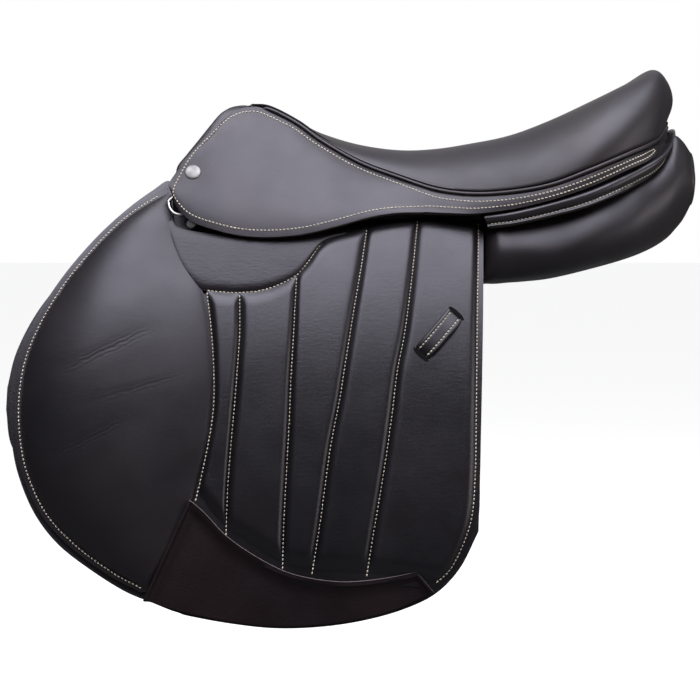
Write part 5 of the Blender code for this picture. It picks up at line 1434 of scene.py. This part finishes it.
# Seat: one piece of softer leather drawn over the foam, from welt to welt. Each row gives the welt
# point, the spine point and how far the middle of the seat dips below its rim there.
SEAT_ROWS = [
    ((-140, 24, 171.5), (-145, 0, 174.5), 0),
    ((-123, 29.7, 169.3), (-124, 0, 171.5), 0),
    ((-97, 36, 155.8), (-99, 0, 160.5), 0),
    ((-74, 44, 139.2), (-75, 0, 148.8), 0),
    ((-39, 58, 118.8), (-40, 0, 138.3), 0),
    ((-3, 74, 104.6), (-2, 0, 133), 0),
    ((31, 92, 93), (32, 0, 135), 1),
    ((64, 106, 89), (66, 0, 142), 3),
    ((98, 118, 91), (102, 0, 152), 6),
    ((130, 127, 97), (138, 0, 167), 8),
    ((163, 128, 109.5), (178, 0, 187), 10),
    ((199, 115, 124.5), (213, 0, 203), 8),
    ((226, 92, 136), (236, 0, 211), 3),
    ((239, 60, 146.5), (250, 0, 199), 0),
    ((247, 32, 152), (257, 0, 181), 0),
    ((250, 12, 154.5), (252.5, 0, 159), 0),
]
SEAT_LEATHER, SEAT_SEAM, SEAT_TUCK = 0.0025, 0.0010, 0.0024
# Places along the saddle, and there how far the rim stands over the welt and how its side leans
SEAT_LIFT = ((-0.10, -0.05, 0.10, 0.20), (0.0018, 0.0030, 0.0036, 0.0062))
SEAT_LEAN = ((0.04, 0.17), (math.radians(22), math.radians(5)))
SEAT_ALONG, SEAT_HALF, TUCK_STEPS = 240, 60, 5
SEAT_ROUND = 0.9


def seat_net():
    """Ribs from the welt, which start part of the way round a quarter turn where the side leans: out is
    the cosine and up the sine to the power 0.9, both counted from the start, less the dip in the upper
    half, mirrored over the spine. Below, the rim turns under to the welt."""
    seam = through(mm([row[0] for row in SEAT_ROWS]), SEAT_ALONG)
    spine = through(mm([row[1] for row in SEAT_ROWS]), SEAT_ALONG)
    dip = through(mm([[row[2]] for row in SEAT_ROWS]), SEAT_ALONG)
    lift = np.interp(seam[:, :1], *SEAT_LIFT)
    lean = np.interp(seam[:, :1], *SEAT_LEAN)
    welt = seam + lift * (0.0, 0.0, 1.0)
    step = np.linspace(0.0, 1.0, SEAT_HALF + 1)
    turn = lean + (0.5 * math.pi - lean) * step
    low = np.sin(lean) ** SEAT_ROUND
    rise = (np.sin(turn) ** SEAT_ROUND - low) / (1.0 - low)
    hollow = 0.5 - 0.5 * np.cos(math.pi * np.clip(2 * step - 1, 0, 1))
    x = welt[:, :1] + (spine - welt)[:, :1] * rise
    y = welt[:, 1:2] * np.cos(turn) / np.cos(lean)
    z = welt[:, 2:] + (spine - welt)[:, 2:] * rise - dip * hollow
    right = np.stack([x, y, z], axis=-1)
    under = np.linspace(0.0, 1.0, TUCK_STEPS + 1)[:-1]
    tuck = np.zeros((SEAT_ALONG, TUCK_STEPS, 3))
    tuck[..., 1] = -SEAT_TUCK * (1.0 - np.sin(0.5 * math.pi * under))
    tuck[..., 2] = (SEAT_SEAM - lift) * (1.0 - under)
    right = np.concatenate([right[:, :1] + tuck, right], axis=1)
    whole = np.concatenate([right, right[:, -2::-1] * (1.0, -1.0, 1.0)], axis=1)
    ends = []
    for end, inward in ((0, 1.0), (-1, -1.0)):
        last = np.repeat(whole[None, end], TUCK_STEPS, axis=0)
        down = np.linspace(0.0, 1.0, TUCK_STEPS + 1)[1:, None]
        lowest = seam[end, 2] + SEAT_SEAM
        last[..., 0] += inward * SEAT_TUCK * (1.0 - np.cos(0.5 * math.pi * down))
        last[..., 2] += (np.minimum(last[..., 2], lowest) - last[..., 2]) * np.sin(0.5 * math.pi * down)
        ends.append(last if end else last[::-1])
    return np.concatenate([ends[0], whole, ends[1]])


seat_leather = leather("seat_leather", (0.0150, 0.0135, 0.0150), (0.0230, 0.0190, 0.0185), 0.46, 900.0,
                       0.00005)
seat = seat_net()
seat_away = facing_out(seat, (0.0, 0.0, 1.0))
seat_piece = skin("seat_leather_cover", seat - SEAT_LEATHER * seat_away, seat, seat_leather)
fit(seat_piece, "tree", "seat_leather", "seat_cover")


# Welt: a cord of piping wrapped in thin leather and caught in the seam that runs round the seat. Its
# two front ends sink into the seam behind the pommel.
WELT_RADIUS, BEAD_END = 0.0019, 0.02
WELT_FINE, WELT_POINTS = 220, 520
WELT_START, WELT_FADE = 5, 9


def bead(name, path, radius, finish, around=12):
    """A round bead along a path, its ends closed by drawn-in rings and flat caps."""
    along = np.gradient(path, axis=0)
    along /= length_of(along)
    first = np.cross(along, (0.0, 0.0, 1.0))
    first /= length_of(first)
    second = np.cross(first, along)
    turn = np.arange(around) * 2 * math.pi / around
    size = np.full(len(path), radius)
    size[[0, -1]] = BEAD_END * radius
    ring = first[:, None] * np.cos(turn)[:, None] + second[:, None] * np.sin(turn)[:, None]
    points = np.swapaxes(path[:, None] + size[:, None, None] * ring, 0, 1)
    faces = cells(around, len(path), loop=True)
    ends = np.arange(around) * len(path)
    cap = np.array([ends[[0, k, k + 1, k + 2]] for k in range(1, around - 2, 2)])
    faces = np.concatenate([faces, cap, cap[:, ::-1] + len(path) - 1])
    return solid(name, points.reshape(-1, 3), faces, [finish])


welt_leather = leather("welt_leather", (0.008, 0.006, 0.006), (0.018, 0.012, 0.012), 0.40, 900.0, 0.00005)
welt_right = through(mm([row[0] for row in SEAT_ROWS]), WELT_FINE)[WELT_START:]
welt_right[:WELT_FADE, 2] -= np.linspace(2 * WELT_RADIUS, 0.0, WELT_FADE)
welt_path = np.concatenate([welt_right, welt_right[::-1] * (1.0, -1.0, 1.0)])
welt = bead("welt_piping", evenly(welt_path, WELT_POINTS), WELT_RADIUS, welt_leather)
fit(welt, "tree", "dark_leather", "seat_welt")


# Pommel facing: a strip of leather cut to the front of the arch, which it covers from one skirt over
# the middle to the other. It is glued down, and its ends meet the front corners of the skirts.
POMMEL_FACING = mm([
    [(-134, 0, 171), (-148, 0, 175.0), (-161, 0, 170), (-162, 0, 157)],
    [(-134, 16, 170), (-148, 16, 174.3), (-159.5, 16, 170.5), (-163, 13, 155)],
    [(-143, 28, 166), (-153, 28, 171), (-162.5, 27.5, 169.3), (-165, 23, 153)],
    [(-153, 35, 160), (-161, 38, 164), (-169.5, 35, 164), (-170, 30, 148)],
    [(-162, 44, 150), (-170, 47, 153), (-179, 43.5, 151.5), (-178, 38, 137)],
    [(-172, 54, 138), (-180, 57, 141), (-189, 53, 137.5), (-186, 47, 125)],
    [(-182, 63, 125), (-190, 66, 128), (-198, 62.5, 125), (-194, 56, 113.5)],
    [(-191, 71, 112), (-199, 74, 115), (-205.5, 70.5, 114), (-202, 64, 103)],
    [(-196, 77.5, 103), (-202, 79.5, 104), (-206, 77.5, 102), (-206, 71, 95)],
])
FACING_LEATHER, FACING_ALONG, FACING_ACROSS = 0.0024, 160, 20


def over_the_middle(right_rows, along, across):
    """A strip from the right end over the middle to the left end, through rows of the right half."""
    left = right_rows[1:] * (1.0, -1.0, 1.0)
    return net_through(np.concatenate([right_rows[:0:-1], right_rows[:1], left]), along, across)


facing_net = over_the_middle(POMMEL_FACING, FACING_ALONG, FACING_ACROSS)
facing_away = facing_out(facing_net, (-1.0, 0.0, 0.3))
facing = skin("pommel_facing_leather", facing_net - FACING_LEATHER * facing_away, facing_net, skirt_leather,
              cut_edge, soft=0.0009)
fit(facing, "tree", "dark_leather", "pommel_facing")


# Arch lining: a thin sheet of the skirts' leather glued under the arch of the tree and turned up round
# the arch's front edge, where the facing hides its end
LINING_ROWS, LINING_COLUMNS, LINING_UNDER, LINING_THICK = 5.2, 36, 0.0092, 0.0015
LINING_AHEAD, LINING_LIP, LINING_NOSE = 0.006, 0.009, 0.004
span = np.arange(-int(LINING_ROWS * TREE_FINE), int(LINING_ROWS * TREE_FINE) + 1)
arch_net, arch_out = tree_net[span], tree_out[span]
ahead = arch_net[:, :1] - (LINING_AHEAD, 0.0, 0.0)
lining_net = np.concatenate([ahead + LINING_LIP * arch_out[:, :1], ahead - LINING_NOSE * arch_out[:, :1],
                             (arch_net - LINING_UNDER * arch_out)[:, 1:]], axis=1)
lining_net = finer_across(lining_net, LINING_COLUMNS)
lining_away = facing_out(lining_net, -arch_out.mean(axis=(0, 1)))
lining = skin("arch_lining", lining_net, lining_net + LINING_THICK * lining_away, skirt_leather, cut_edge,
              soft=0.0005)
fit(lining, "tree", "dark_leather")


# Cantle band: padded leather that closes the cantle over the back of the panels, a roll with a flat lip
# along its foot, sewn through the lip with one row of stitches. Its top edge is turned in at the back.
REAR_BAND = mm([
    [(70, 102, 78), (74, 116, 61)],
    [(98, 113, 83), (98, 123.5, 64)],
    [(130, 120, 93), (130, 130, 71)],
    [(163, 119, 106), (163, 130.5, 80)],
    [(197, 105, 121.5), (199, 118, 95)],
    [(224, 85.5, 133), (229, 96, 111)],
    [(239, 57.5, 144), (244, 66, 128.5)],
    [(246.5, 31, 151), (250.5, 34, 143)],
    [(249, 0, 153.5), (253, 0, 147)],
])
BAND_ALONG, BAND_ACROSS, BAND_LEATHER = 360, 48, 0.005
# Where the roll begins and ends across the band, its height, how far the rest lies in, and the share
# by which the roll is higher at the back, which begins and is reached at two places along the saddle
BAND_ROLL, BAND_CROWN, BAND_SUNK, FULLER_BEHIND = (0.50, 0.87), 0.0052, 0.0012, 0.5
BAND_BACK = (0.19, 0.24)
# Columns turned in at the back, and how far
TOP_TURNED, TOP_INWARD, TOP_RAISED = 9, 0.010, 0.009
FOOT_TURNED, FOOT_INWARD = 3, 0.005
BAND_ROW = 43
band_leather = leather("band_leather", (0.013, 0.012, 0.014), (0.020, 0.017, 0.018), 0.33, 1000.0,
                       0.00003, 0.55)
band_net = over_the_middle(REAR_BAND[::-1], BAND_ALONG, BAND_ACROSS)
band_away = facing_out(band_net, band_net - (0.0, 0.0, 0.1))
roll_share = (np.linspace(0.0, 1.0, BAND_ACROSS) - BAND_ROLL[0]) / (BAND_ROLL[1] - BAND_ROLL[0])
arc = rounded(1.0 - np.abs(2 * roll_share - 1.0))[None]
round_the_back = np.interp(band_net[:, :1, 0], BAND_BACK, (0.0, 1.0))
band_rise = BAND_CROWN * (1.0 + FULLER_BEHIND * round_the_back) * arc - BAND_SUNK
turned = np.linspace(1.0, 0.0, TOP_TURNED)[None, :, None] * round_the_back[..., None]
band_net[:, :TOP_TURNED] += turned * ((0.0, 0.0, TOP_RAISED) - TOP_INWARD * band_away[:, :TOP_TURNED])
turned = np.linspace(0.0, 1.0, FOOT_TURNED)[None, :, None] * round_the_back[..., None]
band_net[:, -FOOT_TURNED:] -= FOOT_INWARD * turned * band_away[:, -FOOT_TURNED:]
band_high = band_net + band_rise[..., None] * band_away
band = skin("rear_band_roll", band_net - BAND_LEATHER * band_away, band_high, band_leather, cut_edge,
            soft=0.0006)
fit(band, "tree", "dark_leather", "rear_facing")
row = stitch_spots(band_high[2:-2, BAND_ROW], band_away[2:-2, BAND_ROW])
sew("stitches_band", [row], 1.0, "tree")


# Small metal: domed saddle nails pressed into the skirts, dees of drawn wire in leather tabs, and studs
# at the points, all nickel-plated and lightly brushed
NAIL_PLACE = mm((-191, 77, 109))
NAIL_RADIUS, NAIL_HEIGHT, NAIL_SUNK = 0.0072, 0.0019, 0.0002
DEE_PLACE = mm((-202, 81.5, 87))
DEE_BOW, DEE_FINE, DEE_POINTS = 48, 400, 121
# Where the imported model's tab stands along the saddle, before it is moved to the dee
TAB_PLACE = -0.199
DEE_WIRE, DEE_WIDTH, DEE_DROP, DEE_CORNER, DEE_TILT = 0.0014, 0.020, 0.016, 0.004, 0.45
STUD_PLACE = mm((-191, 71, 62.5))
STUD_REACH, STUD_RADIUS, STUD_STEM, STUD_HEAD = 0.021, 0.0045, 0.0021, 0.003
# A domed head: its straight edge as a share of the height, its foot and its end as shares of the radius
DOME_EDGE, DOME_FOOT, DOME_END = 0.3, 0.96, 0.03


def turned_body(name, profile, foot, axis, finish, sides=40):
    """A turned body: the profile gives radius and height, carried round the axis, closed at both ends
    by very small rings."""
    axis = np.asarray(axis, float) / np.linalg.norm(axis)
    first = np.cross((0.0, 0.0, 1.0), axis)
    first /= np.linalg.norm(first)
    second = np.cross(axis, first)
    turn = np.arange(sides) * 2 * math.pi / sides
    ring = np.cos(turn)[:, None] * first + np.sin(turn)[:, None] * second
    profile = np.concatenate([[(1e-6, profile[0][1])], profile, [(1e-6, profile[-1][1])]])
    points = foot + profile[:, 0][:, None] * ring[:, None] + profile[:, 1][:, None] * axis
    faces = cells(sides, len(profile), loop=True)
    return merged(solid(name, points.reshape(-1, 3), faces, [finish]), 1e-5)


def dome(radius, height, foot=0.0, steps=12):
    """Profile of a low domed head: a short straight edge, then an elliptic cap."""
    turn = np.linspace(0.0, 0.5 * math.pi, steps)
    edge = DOME_EDGE * height
    cap = np.stack([radius * np.cos(turn), foot + edge + (height - edge) * np.sin(turn)], axis=1)
    return np.concatenate([[(DOME_FOOT * radius, foot)], cap[:-1], [(DOME_END * radius, foot + height)]])


nickel = metal("brushed_nickel", (0.72, 0.71, 0.70), (0.52, 0.51, 0.50), 0.42, (900.0, 30.0, 30.0), 0.00008)
# The nail heads take a much darker copy of the nickel: painted shade, which tones down the overhead light's
# bright reflection in them.
shaded_nail_nickel = metal("nail_nickel_painted_shade", (0.27, 0.265, 0.258), (0.11, 0.107, 0.103), 0.55)
nearest = np.argmin(np.linalg.norm(whole_net - NAIL_PLACE, axis=2))
nail_axis = whole_out.reshape(-1, 3)[nearest]
nail_foot = whole_net.reshape(-1, 3)[nearest] - NAIL_SUNK * nail_axis
half_width = 0.5 * DEE_WIDTH
dee_line = [(DEE_CORNER - half_width, 0.0, 0.0), (half_width - DEE_CORNER, 0.0, 0.0)]
dee_line += [(half_width * math.cos(turn), 0.0, (DEE_DROP - DEE_CORNER) * math.sin(turn) - DEE_CORNER)
             for turn in np.linspace(0.0, -math.pi, DEE_BOW)]
dee_line = evenly(through(np.array(dee_line + dee_line[:1]), DEE_FINE), DEE_POINTS)[:-1]


def wire_ring(name, path, radius, finish, around=10):
    """A closed ring of round wire that lies in the plane of x and z."""
    along = np.roll(path, -1, 0) - np.roll(path, 1, 0)
    along /= length_of(along)
    beside = np.cross(along, (0.0, 1.0, 0.0))
    turn = np.arange(around + 1) * 2 * math.pi / around
    ring = np.cos(turn)[:, None] * beside[:, None] + np.sin(turn)[:, None] * (0.0, 1.0, 0.0)
    points = path[:, None] + radius * ring
    faces = cells(len(path), around + 1, loop=True)
    return merged(solid(name, points.reshape(-1, 3), faces, [finish]), 1e-6)


for side, tag in SIDES:
    flip = np.array((1.0, side, 1.0))
    nail = turned_body("saddle_nail_head_" + tag, dome(NAIL_RADIUS, NAIL_HEIGHT), nail_foot * flip,
                       nail_axis * flip, shaded_nail_nickel)
    fit(nail, "tree", "nickel", "saddle_nail_" + tag)
    stem = [(STUD_STEM, 0.0), (STUD_STEM, STUD_REACH - STUD_HEAD)]
    profile = np.concatenate([stem, dome(STUD_RADIUS, STUD_HEAD, STUD_REACH - STUD_HEAD)])
    stud = turned_body("stud_" + tag, profile, STUD_PLACE * flip, (0.0, side, 0.0), nickel)
    fit(stud, "tree", "nickel", "point_stud_" + tag)
    tilted = dee_line - dee_line[:, 2:] * (0.0, side * DEE_TILT, 0.0)
    dee = wire_ring("dee_wire_" + tag, tilted + DEE_PLACE * flip, DEE_WIRE, nickel)
    fit(dee, "dee_" + tag, "nickel", "dee_ring_" + tag)
    tab = smoothed_copy("dee_loop_" + tag, strap_leather, "dee_tab_" + tag)
    tab.data.transform(Matrix.Translation((DEE_PLACE[0] - TAB_PLACE, 0.0, 0.0)))
    fit(tab, "tree", "strap_leather", "dee_tab_" + tag)
